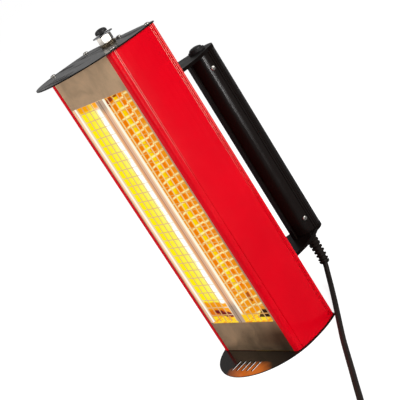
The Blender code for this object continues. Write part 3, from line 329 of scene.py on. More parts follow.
def metal(name, colour, roughness, brushed, smudges, bump=0.000006):
    """Bare or plated metal, with brush lines along one axis where brushed names it."""
    s = Shader(name)
    stretch = {"x": (0.02, 1, 1), "z": (1, 1, 0.02), None: (1, 1, 1)}[brushed]
    lines = s.noise(2600 if brushed else 500, 4, 0.6, stretch)
    slow = s.noise(45, 4, 0.6, distortion=0.6)
    base = s.ramp(slow, ((0.32, shade(colour, 0.90 - smudges)), (0.68, shade(colour, 1.06))))
    grain = s.ramp(lines, ((0.3, (0.88,) * 3), (0.7, (1.0,) * 3)))
    s.colour(s.mix(1.0, base, grain, "MULTIPLY"))
    rough = s.span(lines, 0.3, 0.7, roughness * 0.8, roughness * 1.25)
    s.roughness(s.plus(rough, s.span(slow, 0.5, 0.75, 0.0, smudges)))
    s.bump(lines, bump)
    s.set("Metallic", 1.0)
    return s


def rubber(name, colour, roughness, grain=0.00003):
    """Moulded rubber or plastic with a fine matt grain and pale rubbed dust."""
    s = Shader(name)
    fine = s.noise(1800, 3)
    dust = s.span(s.noise(70, 5, 0.65), 0.55, 0.8)
    base = s.ramp(s.noise(25, 3), ((0.3, shade(colour, 0.85)), (0.7, shade(colour, 1.2))))
    s.colour(s.mix(s.times(dust, 0.35), base, tuple(c + 0.012 for c in colour)))
    s.roughness(s.span(fine, 0.3, 0.7, roughness * 0.88, min(1.0, roughness * 1.12)))
    s.bump(fine, grain)
    s.set("Specular IOR Level", 0.24)
    return s


def ceramic():
    """Cream ceramic with dark specks."""
    s = Shader("fired_ceramic")
    speck = s.span(s.noise(900, 2), 0.68, 0.72)
    base = s.ramp(s.noise(80, 4), ((0.3, (0.66, 0.61, 0.52)), (0.7, (0.78, 0.74, 0.66))))
    s.colour(s.mix(s.times(speck, 0.4), base, (0.35, 0.30, 0.24)))
    s.set("Roughness", 0.62)
    s.bump(s.noise(700, 3), 0.00003)
    return s


def across_trough(s, side):
    """Distance from the trough's rim along its section, which also counts the depth."""
    x, y, _ = s.axes()
    inwards = s.minus(TROUGH_HALF_WIDTH, s.away(x, side * TROUGH_MIDDLE))
    return s.plus(inwards, s.times(s.plus(y, RIM_DEPTH), DEPTH_SHARE))


def line_mask(s, value, pitch, offset, width):
    """Thin soft-edged lines that repeat along value."""
    phase = s.maths("FRACT", s.over(s.minus(value, offset - pitch / 2), pitch))
    share = width / pitch
    return s.span(s.away(phase, 0.5), 0.85 * share, 0.15 * share)


def from_rim(s, sideways):
    """How far behind its trough's rim a point lies, and its place across the rim's plane."""
    x, y, _ = s.axes()
    deep = s.plus(y, RIM_DEPTH)
    return deep, s.plus(x, s.times(deep, sideways))


def wire_images(s):
    """Painted reflections: the arched images of the cross wires that the mirror and the quartz
    show.
    """
    z = s.axes()[2]
    deep, across = from_rim(s, SIDEWAYS_SLOPE)
    level = s.plus(z, s.times(deep, IMAGE_SLOPE))
    level = s.minus(level, s.times(across, 0.20))
    bend = s.larger(s.minus(0.026, across), 0.0)
    level = s.plus(level, s.times(s.maths("POWER", bend, 2.0), 6.7))
    level = s.plus(level, s.span(s.noise(60, 2), 0.3, 0.7, -0.0005, 0.0005))
    return line_mask(s, level, IMAGE_PITCH, IMAGE_OFFSET, 0.00180)


def seen_place(s):
    """Where a point of a trough lies, brought forward to the plane of its rim."""
    z = s.axes()[2]
    deep, across = from_rim(s, SIDEWAYS_SLOPE)
    slope = s.over(s.minus(VIEW_HEIGHT, z), VIEW_DISTANCE)
    return across, s.plus(z, s.times(deep, slope))


def blots(s, glow, across, level, spots, colour, share=1.0):
    """Lays ragged dark spots of painted shade over a glow: (middle, reach) of each in the rim's
    plane.
    """
    for middle, reach in spots:
        a = s.over(s.minus(across, middle[0]), reach[0])
        b = s.over(s.minus(level, middle[1]), reach[1])
        far = s.plus(s.times(a, a), s.times(b, b))
        far = s.plus(far, s.span(s.noise(300, 4, 0.7), 0.3, 0.7, -0.8, 0.8))
        glow = s.mix(s.span(far, 1.1, 0.6, 0.0, share), glow, colour)
    return glow


# Colours of the painted glow and painted shade, and places in the rim's plane as (across, level)
IMAGE_PITCH = 0.00946
IMAGE_OFFSET = 0.00184
IMAGE_GLARE = (1.0, 0.94, 0.42)
LAMP_ORANGE = (0.88, 0.31, 0.006)
LAMP_YELLOW = (1.0, 0.72, 0.02)
PAINTED_DARK_IMAGE = (0.16, 0.010, 0.016)
UNLIT = (0.012, 0.004, 0.002)
UNLIT_START = 0.0300
UNLIT_LOW, UNLIT_HIGH = 0.0432, 0.0540
LEFT_RIM_EDGE = -0.0515
LOW_LEFT_STREAKS = (
    ((-0.0360, 0.0522), (0.0050, 0.0024)),
    ((-0.0290, 0.0503), (0.0062, 0.0038)),
    ((-0.0200, 0.0488), (0.0075, 0.0038)),
    ((-0.0150, 0.0476), (0.0060, 0.0028)),
)
TOP_RIGHT_SPOTS = (
    ((0.0090, 0.3075), (0.0018, 0.0060)),
    ((0.0155, 0.3108), (0.0050, 0.0023)),
    ((0.0255, 0.3124), (0.0050, 0.0013)),
)
LOW_RIGHT_SPOTS = (
    ((0.0410, 0.0690), (0.0100, 0.0070)),
    ((0.0440, 0.0605), (0.0080, 0.0060)),
)


def corner_shadow(s, across, level):
    """The unlit corner low in the right trough."""
    slanted = s.times(s.minus(across, UNLIT_START), 0.90)
    edge = s.minus(slanted, s.minus(level, UNLIT_LOW))
    shadow = s.times(s.span(edge, 0.0, 0.0006), s.span(level, UNLIT_LOW, UNLIT_LOW + 0.0006))
    return s.times(shadow, s.span(level, UNLIT_HIGH, UNLIT_HIGH - 0.0015))


def dark_streaks(s, glow, across, level):
    """Painted shade: ragged dark images low in the left trough, on whatever is seen there."""
    return blots(s, glow, across, level, LOW_LEFT_STREAKS, PAINTED_DARK_IMAGE)


def painted_end_images(s, glow, side):
    """Painted glow and shade at both ends of a trough: cooler colours and dark images of the
    lamp's ends.
    """
    across, level = seen_place(s)
    wavy = s.plus(level, s.span(s.noise(150, 3), 0.3, 0.7, -0.0009, 0.0009))
    if side < 0:
        inside = s.span(across, LEFT_RIM_EDGE, LEFT_RIM_EDGE + 0.0025)
        inwards = s.larger(s.plus(across, 0.0225), 0.0)
        lower = s.plus(wavy, s.times(inwards, 0.8))
        fading = s.span(across, -0.0220, -0.0320, 0.30, 1.0)
        top = s.times(s.span(wavy, 0.3066, 0.3090), fading)
        for share, colour in (
            (s.span(lower, 0.0664, 0.0644), LAMP_ORANGE),
            (s.span(wavy, 0.0562, 0.0546), (0.74, 0.17, 0.006)),
            (top, (0.95, 0.38, 0.004)),
        ):
            glow = s.mix(s.times(share, inside), glow, colour)
        glow = dark_streaks(s, glow, across, level)
        low_end = s.times(s.span(level, 0.0470, 0.0456), inside)
        return s.mix(low_end, glow, LAMP_YELLOW)
    # Painted shade: dark reddish images near the right trough's ends.
    glow = blots(s, glow, across, level, TOP_RIGHT_SPOTS, (0.26, 0.022, 0.010), 0.92)
    glow = blots(s, glow, across, level, LOW_RIGHT_SPOTS, (0.34, 0.045, 0.008), 0.85)
    glow = s.mix(s.span(level, 0.0500, 0.0465), glow, (1.0, 0.60, 0.015))
    return s.mix(corner_shadow(s, across, level), glow, UNLIT)


def glare_painted_reflector(name, side):
    """Gold mirror round a burning tube, its reflected light painted on as glow: white at the rim,
    yellow and orange further in.

    The stops give the glow at millimetres from the rim, along the trough's section.
    """
    s = Shader(name)
    x, y, z = s.axes()
    u = across_trough(s, side)
    if side < 0:
        stops = (
            (-3.5, (1.0, 0.96, 0.86)),
            (-2.0, (1.0, 1.0, 0.98)),
            (0.6, (1.0, 0.99, 0.88)),
            (1.8, (1.0, 0.84, 0.30)),
            (3.2, (1.0, 0.82, 0.16)),
            (4.6, (1.0, 0.86, 0.004)),
            (12.0, (1.0, 0.89, 0.004)),
            (15.0, (1.0, 0.92, 0.045)),
            (22.0, (1.0, 0.93, 0.065)),
            (25.0, (1.0, 0.95, 0.11)),
            (31.0, (1.0, 0.96, 0.20)),
            (34.0, (1.0, 1.0, 0.85)),
        )
        cell_glow = (1.0, 0.78, 0.002)
    else:
        stops = (
            (-3.0, (1.0, 0.94, 0.74)),
            (-1.4, (1.0, 1.0, 0.86)),
            (1.6, (1.0, 0.96, 0.70)),
            (2.8, (0.84, 0.34, 0.05)),
            (4.2, (0.84, 0.26, 0.012)),
            (5.6, (1.0, 0.62, 0.10)),
            (7.2, (0.90, 0.30, 0.006)),
            (9.8, (0.86, 0.205, 0.001)),
            (13.8, (0.88, 0.215, 0.001)),
            (16.6, (1.0, 0.70, 0.001)),
            (22.5, (1.0, 0.66, 0.001)),
            (26.2, (0.88, 0.22, 0.001)),
            (34.0, (0.88, 0.21, 0.001)),
            (37.0, (0.93, 0.36, 0.001)),
            (44.0, (0.95, 0.42, 0.001)),
        )
        cell_glow = (0.76, 0.13, 0.001)
    low, high = -0.004, 0.050
    places = tuple(((mm / 1000 - low) / (high - low), colour) for mm, colour in stops)
    glow = s.ramp(s.span(u, low, high), places)
    inner = s.span(u, 0.006, 0.009)
    # Painted light: darker orange cells in the mirror's painted glow.
    cells = s.times(s.span(s.noise(110, 4, 0.6), 0.50, 0.72, 0.0, 0.55), inner)
    glow = s.mix(cells, glow, cell_glow)
    if side > 0:
        low_part = s.times(s.span(z, 0.076, 0.068), s.span(u, 0.007, 0.010))
        glow = s.mix(low_part, glow, LAMP_ORANGE)
        # Painted reflections of the cross wires on the right mirror.
        lines = s.times(wire_images(s), s.span(u, 0.006, 0.011))
        lines = s.times(lines, s.span(s.noise(140, 3), 0.30, 0.50, 0.55, 1.0))
        glow = s.mix(lines, glow, IMAGE_GLARE)
    else:
        # Painted reflections: faint pale lines of the cross wires on the left mirror.
        pale = line_mask(s, z, CROSS_WIRE_PITCH, 0.00180, 0.0012)
        pale = s.times(pale, s.span(s.noise(120, 3), 0.40, 0.60, 0.0, 0.30))
        glow = s.mix(s.times(pale, inner), glow, (1.0, 0.62, 0.10))
    glow = painted_end_images(s, glow, side)
    # Painted light on the front of the ridge between the troughs, darker down its middle, with
    # painted shade towards the lamp ends.
    ridge = s.span(y, RIDGE_FRONT, RIDGE_FRONT - 0.0006)
    strip = s.span(x, -RIDGE_HALF_WIDTH, RIDGE_HALF_WIDTH)
    tone = s.ramp(strip, (
        (0.0, (0.96, 0.54, 0.25)),
        (0.18, (0.76, 0.36, 0.16)),
        (0.40, (0.70, 0.34, 0.17)),
        (0.455, (0.40, 0.21, 0.12)),
        (0.515, (0.42, 0.24, 0.15)),
        (0.57, (0.72, 0.44, 0.29)),
        (0.84, (0.70, 0.40, 0.24)),
        (1.0, (0.92, 0.64, 0.40)),
    ))
    ridge_shade = s.ramp(strip, (
        (0.0, (0.36, 0.25, 0.17)),
        (0.42, (0.37, 0.26, 0.18)),
        (0.465, (0.15, 0.095, 0.065)),
        (0.515, (0.20, 0.13, 0.09)),
        (0.57, (0.42, 0.30, 0.21)),
        (1.0, (0.48, 0.34, 0.25)),
    ))
    ends = s.larger(s.span(z, 0.0680, 0.0600), s.span(z, 0.2980, 0.3060))
    tone = s.mix(ends, tone, ridge_shade)
    glow = s.mix(ridge, glow, tone)
    s.colour(s.mix(ridge, (0.010, 0.004, 0.001), (0.07, 0.05, 0.04)))
    s.glow(glow, 0.98)
    s.set("Metallic", 1.0)
    fine = s.noise(600, 3)
    s.roughness(s.span(fine, 0.3, 0.7, 0.20, 0.32))
    s.bump(fine, 0.000004)
    return s


def hot_tube(name, side):
    """Quartz round a glowing coil, dimmer where it enters its ceramics."""
    s = Shader(name)
    z = s.axes()[2]
    ends = s.larger(s.span(z, 0.0590, 0.0570), s.span(z, 0.300, 0.308, smooth=True))
    grain = s.span(s.noise(220, 3), 0.3, 0.7)
    if side < 0:
        across = from_rim(s, TUBE_EDGE_SLOPE)[1]
        across = s.plus(across, s.span(s.noise(42, 3, 0.6), 0.3, 0.7, -0.0026, 0.0026))
        edge = s.span(across, -0.0190, -0.0168)
        bright = s.mix(edge, (1.0, 0.92, 0.22), s.mix(grain, (1.0, 1.0, 0.90), (1.0, 1.0, 1.0)))
        glow = s.mix(ends, bright, (0.90, 0.33, 0.010))
        glow = dark_streaks(s, glow, *seen_place(s))
    else:
        warm = s.mix(grain, (0.88, 0.24, 0.001), (0.92, 0.34, 0.002))
        glow = s.mix(ends, warm, (0.82, 0.30, 0.015))
        # Painted reflections of the cross wires on the quartz.
        lines = s.times(wire_images(s), 0.85)
        glow = s.mix(lines, glow, IMAGE_GLARE)
        glow = s.mix(corner_shadow(s, *seen_place(s)), glow, UNLIT)
    s.glow(glow, 1.2 if side < 0 else 0.92)
    s.colour(s.ramp(s.noise(300, 2), ((0.3, (0.020, 0.010, 0.004)), (0.7, (0.030, 0.016, 0.008)))))
    s.set("Roughness", 0.18)
    s.set("Specular IOR Level", 0.12)
    return s


def glare_painted_wire(name, colours, strength):
    """Steel wire in front of the lamps, with their glare painted on as glow: (place across,
    colour) stops.
    """
    s = Shader(name)
    x, _, z = s.axes()
    half = WINDOW_HALF_WIDTH
    stops = [((place + half) / (2 * half), colour) for place, colour in colours]
    grain = s.noise(900, 3)
    tone = s.ramp(s.span(x, -half, half), stops)
    # Painted shade: the glare dimmer near the lamp ends.
    dim = s.larger(s.span(z, 0.060, 0.046), s.span(z, 0.302, 0.312))
    tone = s.mix(s.times(dim, 0.6), tone, (0.62, 0.26, 0.05))
    # Painted glints: a little pale light laid over the glare by a fine grain.
    s.glow(s.mix(s.span(grain, 0.3, 0.7, 0.0, 0.15), tone, (1.0, 0.9, 0.7)), strength)
    s.colour(s.ramp(grain, ((0.3, (0.07, 0.05, 0.03)), (0.7, (0.10, 0.08, 0.05)))))
    s.set("Metallic", 1.0)
    s.roughness(s.span(grain, 0.3, 0.7, 0.30, 0.45))
    s.bump(grain, 0.00001)
    return s


def lit_panel():
    """Brushed sheet, darker towards the lower right with painted shade, and the lamps' light
    painted on beside the window.
    """
    s = metal("brushed_stainless", (0.72, 0.49, 0.30), 0.42, "x", 0.12)
    x, _, z = s.axes()
    # Painted shade: the sheet darker towards its lower right.
    shade_low_right = s.times(s.span(z, 0.046, 0.022), s.span(x, -0.025, 0.045))
    plain = s.so_far("Base Color")
    s.colour(s.mix(s.times(shade_low_right, 0.88), plain, (0.07, 0.042, 0.026)))
    # Painted light of the lamps on the sheet beside the window.
    beside = s.span(s.away(x, 0.0), WINDOW_HALF_WIDTH + 0.0035, WINDOW_HALF_WIDTH + 0.0005)
    near = s.times(beside, s.span(z, WINDOW_LOW - 0.0005, WINDOW_LOW + 0.0005))
    near = s.times(near, s.span(z, WINDOW_HIGH + 0.0005, WINDOW_HIGH - 0.0005))
    tone = s.mix(s.span(x, -0.01, 0.01), (0.62, 0.36, 0.22), (0.20, 0.09, 0.045))
    s.glow(s.mix(near, (0.0, 0.0, 0.0), tone), 1.0)
    return s


# Painted highlights on the groove edges: (places in y, strengths, height where the lines start and
# where they are full)
GROOVE_HIGHLIGHT_LINES = (
    ((-0.02550, -0.02410), (0.70, 0.45), 0.200, 0.350),
    ((0.02280, 0.02500), (1.0, 1.0), 0.150, 0.270),
    ((0.02760, 0.02960), (0.6, 0.4), 0.150, 0.270),
)


def red_with_painted_highlights():
    """Red coat with pale painted highlights along the grooves near the front and back corners,
    most of all near the top.
    """
    s = painted("red_powder_coat", (0.74, 0.0006, 0.0095), 0.20, 0.000004, 0.07)
    _, y, z = s.axes()
    lines = None
    for places, shares, low, high in GROOVE_HIGHLIGHT_LINES:
        for place, share in zip(places, shares):
            line = s.span(s.away(y, place), 0.00045, 0.00025, 0.0, share)
            line = s.times(line, s.span(z, low, high))
            lines = line if lines is None else s.larger(lines, line)
    # Painted highlights: pale lines, patchy along their length.
    patchy = s.span(s.noise(90, 3, stretch=(1, 1, 0.2)), 0.30, 0.50, 0.75, 1.0)
    plain = s.so_far("Base Color")
    s.colour(s.mix(s.times(lines, patchy), plain, (0.88, 0.36, 0.30)))
    return s


def streaked_black():
    """Black coat of the upper plate, with wiped streaks that dull its gloss."""
    s = painted("black_gloss_coat", (0.010, 0.0072, 0.0066), 0.18, 0.000008, 0.10)
    wiped = s.span(s.noise(38, 5, 0.65, (0.35, 1.6, 1), 1.2), 0.50, 0.66)
    plain = s.so_far("Roughness")
    s.roughness(s.plus(plain, s.times(wiped, 0.30)))
    return s


# The painted pool of the lamps' light on the lower plate
PATCH_MIDDLE = (0.024, -0.066)
PATCH_RIGHT_REACH = 0.024
PATCH_LEFT_REACH = 0.046
PATCH_DEPTH_REACH = 0.019


def base_coat():
    """Black coat with the lamps' glow painted on its upper side in front of the window."""
    s = painted("base_gloss_coat", (0.008, 0.0055, 0.0045), 0.18, 0.000008, 0.14)
    x, y, z = s.axes()
    a = s.minus(x, PATCH_MIDDLE[0])
    a = s.larger(s.over(a, PATCH_RIGHT_REACH), s.over(a, -PATCH_LEFT_REACH))
    b = s.over(s.minus(y, PATCH_MIDDLE[1]), PATCH_DEPTH_REACH)
    far = s.plus(s.times(a, a), s.times(b, b))
    far = s.plus(far, s.span(s.noise(70, 4, 0.6), 0.3, 0.7, -0.2, 0.2))
    # Painted light: the pool of glow on the plate's upper side.
    lit = s.times(s.span(far, 1.05, 0.05), s.span(z, 0.0009, 0.0011))
    s.glow(s.mix(lit, (0.0, 0.0, 0.0), (0.52, 0.108, 0.004)), 1.0)
    return s


def glare_painted_end(name, colour):
    """A lamp end that stands in the glare of its trough, the glare painted on as glow with painted
    shade over it.
    """
    s = Shader(name)
    across, level = seen_place(s)
    grain = s.noise(150, 4, 0.6)
    s.colour(s.ramp(grain, ((0.3, shade(colour, 0.8)), (0.7, colour))))
    glow = s.mix(s.span(grain, 0.46, 0.58), LAMP_YELLOW, LAMP_ORANGE)
    glow = dark_streaks(s, glow, across, level)
    glow = s.mix(corner_shadow(s, across, level), glow, UNLIT)
    s.glow(glow, 0.95)
    s.set("Roughness", 0.6)
    s.bump(grain, 0.00003)
    return s


RED = red_with_painted_highlights()
BASE_BLACK = base_coat()
GLARE_PAINTED_HOLDER = glare_painted_end("holder_in_glare", (0.030, 0.022, 0.016))
GLARE_PAINTED_CERAMIC = glare_painted_end("ceramic_in_glare", (0.045, 0.034, 0.024))
BLACK = streaked_black()
GRIP = painted("handle_gloss_coat", (0.0085, 0.0055, 0.0045), 0.20, 0.000006, 0.12)
BRACKET_BLACK = painted("bracket_gloss_coat", (0.0045, 0.0026, 0.0022), 0.30, 0.000010, 0.04)
PANEL = lit_panel()
SCREW_STEEL = metal("zinc_plated_steel", (0.40, 0.38, 0.35), 0.34, None, 0.05)
YELLOW_ZINC = metal("yellow_zinc", (0.17, 0.135, 0.09), 0.40, None, 0.08)
CHROME = metal("nut_chrome_plate", (0.92, 0.86, 0.78), 0.16, None, 0.0, 0.000001)
COLLAR = metal("satin_collar", (0.30, 0.30, 0.31), 0.35, "z", 0.05)
GALVANISED = metal("galvanised_sheet", (0.52, 0.52, 0.50), 0.42, None, 0.15)
PIN_METAL = metal("nickel_pin", (0.70, 0.68, 0.62), 0.18, "z", 0.04)
BUTTON = rubber("button_rubber_skin", (0.016, 0.015, 0.015), 0.42)
SWITCH = rubber("switch_moulding", (0.020, 0.019, 0.019), 0.50)
CORD = rubber("cord_rubber_skin", (0.014, 0.0095, 0.0078), 0.58)
CORD.set("Specular IOR Level", 0.12)
PLUG = rubber("plug_moulding", (0.018, 0.017, 0.016), 0.50)
TIE = rubber("tie_strap", (0.020, 0.020, 0.021), 0.60, 0.00005)
CERAMIC = ceramic()
REFLECTOR_LEFT = glare_painted_reflector("reflector_gold_left", -1)
REFLECTOR_RIGHT = glare_painted_reflector("reflector_gold_right", 1)
TUBE_LEFT = hot_tube("quartz_left", -1)
TUBE_RIGHT = hot_tube("quartz_right", 1)
PINK_GLARE = (0.86, 0.50, 0.19)
LONG_WIRE = glare_painted_wire("grille_long_wire_steel", (
    (-0.050, (0.92, 0.66, 0.40)),
    (-0.040, PINK_GLARE),
    (-0.022, (0.88, 0.52, 0.20)),
    (-0.012, (1.0, 0.93, 0.78)),
    (0.002, (1.0, 0.90, 0.72)),
    (0.010, (0.98, 0.72, 0.34)),
    (0.052, (0.96, 0.66, 0.26)),
), 0.80)
CROSS_WIRE = glare_painted_wire("grille_cross_wire_steel", (
    (-0.052, (1.0, 0.88, 0.66)),
    (-0.047, PINK_GLARE),
    (-0.022, (0.90, 0.58, 0.24)),
    (-0.017, (1.0, 0.93, 0.76)),
    (-0.006, (1.0, 0.93, 0.80)),
    (0.004, (1.0, 0.86, 0.52)),
    (0.012, (0.90, 0.37, 0.03)),
    (0.052, (0.92, 0.40, 0.03)),
), 0.76)


def hot_filament():
    """Wire of the coil, glowing."""
    s = Shader("filament_hot")
    s.colour(s.ramp(s.noise(500, 2), ((0.3, (0.4, 0.2, 0.1)), (0.7, (0.6, 0.3, 0.12)))))
    s.set("Emission Color", (1.0, 0.62, 0.22, 1.0))
    s.set("Emission Strength", 2.5)
    s.set("Roughness", 0.5)
    return s


FILAMENT = hot_filament()


def dress(obj, shader):
    """Gives the object this material alone."""
    obj.data.materials.clear()
    obj.data.materials.append(shader.material)


NODE_FINISH = {
    "casing": RED,
    "top_end_plate": BLACK,
    "bottom_end_plate": BASE_BLACK,
    "front_panel": PANEL,
    "reflector_left": REFLECTOR_LEFT,
    "reflector_right": REFLECTOR_RIGHT,
    "lamp_tube_left": TUBE_LEFT,
    "lamp_tube_right": TUBE_RIGHT,
    "filament_left": FILAMENT,
    "filament_right": FILAMENT,
    "upper_lamp_holder": GLARE_PAINTED_HOLDER,
    "lower_lamp_holder": GLARE_PAINTED_HOLDER,
    "heat_shield": GALVANISED,
    "terminal_block": CERAMIC,
    "start_switch": SWITCH,
    "plain_washer": YELLOW_ZINC,
    "toothed_washer": YELLOW_ZINC,
    "button_collar": COLLAR,
    "start_button": BUTTON,
    "handle_tube": GRIP,
    "handle_upper_bracket": BRACKET_BLACK,
    "handle_lower_bracket": BRACKET_BLACK,
    "thumb_bezel": SWITCH,
    "thumb_switch": SWITCH,
    "thumb_button": BUTTON,
    "cord_gland": BUTTON,
    "coil_tie": TIE,
    "plug_pin_left": PIN_METAL,
    "plug_pin_right": PIN_METAL,
}
for name, node in NODES.items():
    if name in NODE_FINISH:
        dress(node, NODE_FINISH[name])
    elif "ceramic" in name:
        dress(node, GLARE_PAINTED_CERAMIC)


# Pieces

def rounded(mesh):
    """Smooth shading that stops at sharp edges."""
    mesh.shade_smooth()
    mesh.set_sharp_from_angle(angle=SHARP_EDGE)


def mesh_of(name, work, turn_faces=True):
    """The mesh of finished work, its faces turned outwards where they were made one by one."""
    if turn_faces:
        bmesh.ops.recalc_face_normals(work, faces=work.faces)
    mesh = bpy.data.meshes.new(name)
    work.to_mesh(mesh)
    work.free()
    return mesh


def piece(name, mesh, shader):
    """A visible piece on the root body, with its material."""
    obj = placed(name, mesh)
    dress(obj, shader)
    rounded(mesh)
    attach(obj, "root")
    return obj


def smooth_route(points, spacing):
    """Even points on a smooth curve through the given ones."""
    points = [Vector(point) for point in points]
    guides = [2 * points[0] - points[1]] + points + [2 * points[-1] - points[-2]]
    dense = []
    for a, b, c, d in zip(guides, guides[1:], guides[2:], guides[3:]):
        for i in range(24):
            t = i / 24
            dense.append(
                0.5 * (2 * b + (c - a) * t + (2 * a - 5 * b + 4 * c - d) * t * t
                       + (3 * b - a - 3 * c + d) * t * t * t)
            )
    dense.append(points[-1])
    return evenly(dense, spacing)


def evenly(points, spacing):
    """Points of a broken line, moved along it to stand about spacing apart."""
    runs = [0.0]
    for a, b in zip(points, points[1:]):
        runs.append(runs[-1] + (b - a).length)
    count = max(2, round(runs[-1] / spacing))
    out = []
    j = 0
    for i in range(count + 1):
        target = runs[-1] * i / count
        while j < len(runs) - 2 and runs[j + 1] < target:
            j += 1
        step = max(runs[j + 1] - runs[j], 1e-9)
        out.append(points[j].lerp(points[j + 1], (target - runs[j]) / step))
    return out


def tangent(angle):
    """The way that a clockwise turn goes on at this angle."""
    return Vector((math.sin(angle), -math.cos(angle), 0))


def coil_points(per_turn):
    """Loops that spiral in and out again, climbing a layer where the spiral reverses."""
    heading = math.radians(COIL_HEADING)
    inward = Vector((math.sin(heading), -math.cos(heading), 0))
    middle = Vector((*COIL_START, 0)) + COIL_OUTER_RADIUS * inward
    first = heading + math.pi / 2
    turns = COIL_LAYERS * COIL_TURNS_PER_LAYER
    count = round(turns * per_turn)
    points = []
    for i in range(count + 1):
        run = turns * i / count
        layer = min(int(run / COIL_TURNS_PER_LAYER), COIL_LAYERS - 1)
        along = run - layer * COIL_TURNS_PER_LAYER
        inwards = along if layer % 2 == 0 else COIL_TURNS_PER_LAYER - along
        radius = COIL_OUTER_RADIUS - COIL_PITCH * inwards
        height = COIL_BASE
        for j in range(1, COIL_LAYERS):
            share = min(1.0, max(0.0, 2 * (run - j * COIL_TURNS_PER_LAYER) + 0.5))
            height += COIL_PITCH * share * share * (3 - 2 * share)
        angle = first - 2 * math.pi * run
        flat = Vector((radius * math.cos(angle), radius * math.sin(angle), height))
        points.append(middle + flat)
    end = tangent(first - 2 * math.pi * turns)
    start = tangent(first)
    diameter = 2 * CORD_RADIUS
    return [points[0] - diameter * start] + points + [points[-1] + diameter * end]


def part_of(points, start, end):
    """The stretch of a route between two distances along it."""
    out = []
    run = 0.0
    for a, b in zip(points, points[1:]):
        step = (b - a).length
        for distance in (start, end):
            if run <= distance < run + step:
                out.append(a.lerp(b, (distance - run) / step))
                if distance == end:
                    return out
        run += step
        if start < run < end:
            out.append(b)
    return out + [points[-1]]


def frames_along(points):
    """(point, side, up) at each point, turned as little as possible on the way."""
    out = []
    side = None
    for i, point in enumerate(points):
        ahead = (points[min(i + 1, len(points) - 1)] - points[max(i - 1, 0)]).normalized()
        if side is None:
            side = ahead.orthogonal().normalized()
        side = (side - ahead * side.dot(ahead)).normalized()
        out.append((point, side, ahead.cross(side)))
    return out


def bridge(work, rings):
    """Faces from each ring to the next; a ring of one point closes the shape."""
    for low, high in zip(rings, rings[1:]):
        sides = max(len(low), len(high))
        for k in range(sides):
            j = (k + 1) % sides
            corners = ((low, k), (low, j), (high, j), (high, k))
            unique = list(dict.fromkeys(ring[i % len(ring)] for ring, i in corners))
            if len(unique) > 2:
                work.faces.new(unique)


def tube_mesh(name, points, radii, sides):
    """A closed tube along points, with its own radius at each."""
    work = bmesh.new()
    rings = []
    for (point, side, up), radius in zip(frames_along(points), radii):
        ring = []
        for k in range(sides):
            a = 2 * math.pi * k / sides
            ring.append(work.verts.new(point + radius * (math.cos(a) * side + math.sin(a) * up)))
        rings.append(ring)
    bridge(work, rings)
    work.faces.new(rings[0][::-1])
    work.faces.new(rings[-1])
    return mesh_of(name, work)


def lathe_mesh(name, profile, sides, at):
    """A turned shape from (radius, height) points, its first and last on the axis."""
    work = bmesh.new()
    rings = []
    for radius, height in profile:
        if radius < 1e-7:
            rings.append([work.verts.new(at @ Vector((0, 0, height)))])
            continue
        ring = []
        for k in range(sides):
            a = 2 * math.pi * k / sides
            corner = Vector((radius * math.cos(a), radius * math.sin(a), height))
            ring.append(work.verts.new(at @ corner))
        rings.append(ring)
    bridge(work, rings)
    return mesh_of(name, work)


# Cord

def make_cord():
    """The mains cord as it lies, with its relief and plug."""
    coil = coil_points(40)
    lead = smooth_route(LEAD_ROUTE + (tuple(coil[0]),), CORD_RADIUS / 2)
    heading = (coil[-1] - coil[-2]).normalized()
    end = Vector((coil[-1].x, coil[-1].y, 0))
    tail_points = [end + heading * ahead + Vector((0, 0, up)) for ahead, up in TAIL_ROUTE]
    tail = smooth_route(tail_points, CORD_RADIUS / 2)
    route = evenly(lead, 0.004) + coil[1:-1] + evenly(tail, 0.004)
    curve = bpy.data.curves.new("mains_cord", "CURVE")
    curve.dimensions = "3D"
    curve.bevel_depth = CORD_RADIUS
    curve.bevel_resolution = 5
    curve.use_fill_caps = True
    spline = curve.splines.new("POLY")
    spline.points.add(len(route) - 1)
    for target, point in zip(spline.points, route):
        target.co = (*point, 1)
    spline.use_smooth = True
    cord = placed("mains_cord", curve)
    dress(cord, CORD)
    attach(cord, "root")
    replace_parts(cord, "cord_lead", "cord_coil", "cord_tail")
    relief = make_relief(part_of(lead, 0.0, RELIEF_LENGTH))
    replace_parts(relief, "strain_relief")
    plug = make_plug(end + heading * TAIL_ROUTE[-1][0], heading)


def make_relief(path):
    """A tapered sleeve with square ribs and a plain collar at its end."""
    collar_start, bevel_start, bevel = 0.905, 0.975, 0.0009
    points = evenly(path, 0.00025)
    radii = []
    for i in range(len(points)):
        share = i / (len(points) - 1)
        outer = RELIEF_TOP_RADIUS + (RELIEF_END_RADIUS - RELIEF_TOP_RADIUS) * share
        phase = (share * RELIEF_RIBS) % 1.0
        on_rib = min(1.0, max(0.0, (0.29 - abs(phase - 0.30)) / 0.07))
        radius = RELIEF_CORE_RADIUS + (outer - RELIEF_CORE_RADIUS) * on_rib
        if share > collar_start:
            radius = outer if share < bevel_start else outer - bevel
        radii.append(radius)
    name = "strain_relief_sleeve"
    return piece(name, tube_mesh(name, points, radii, 28), CORD)


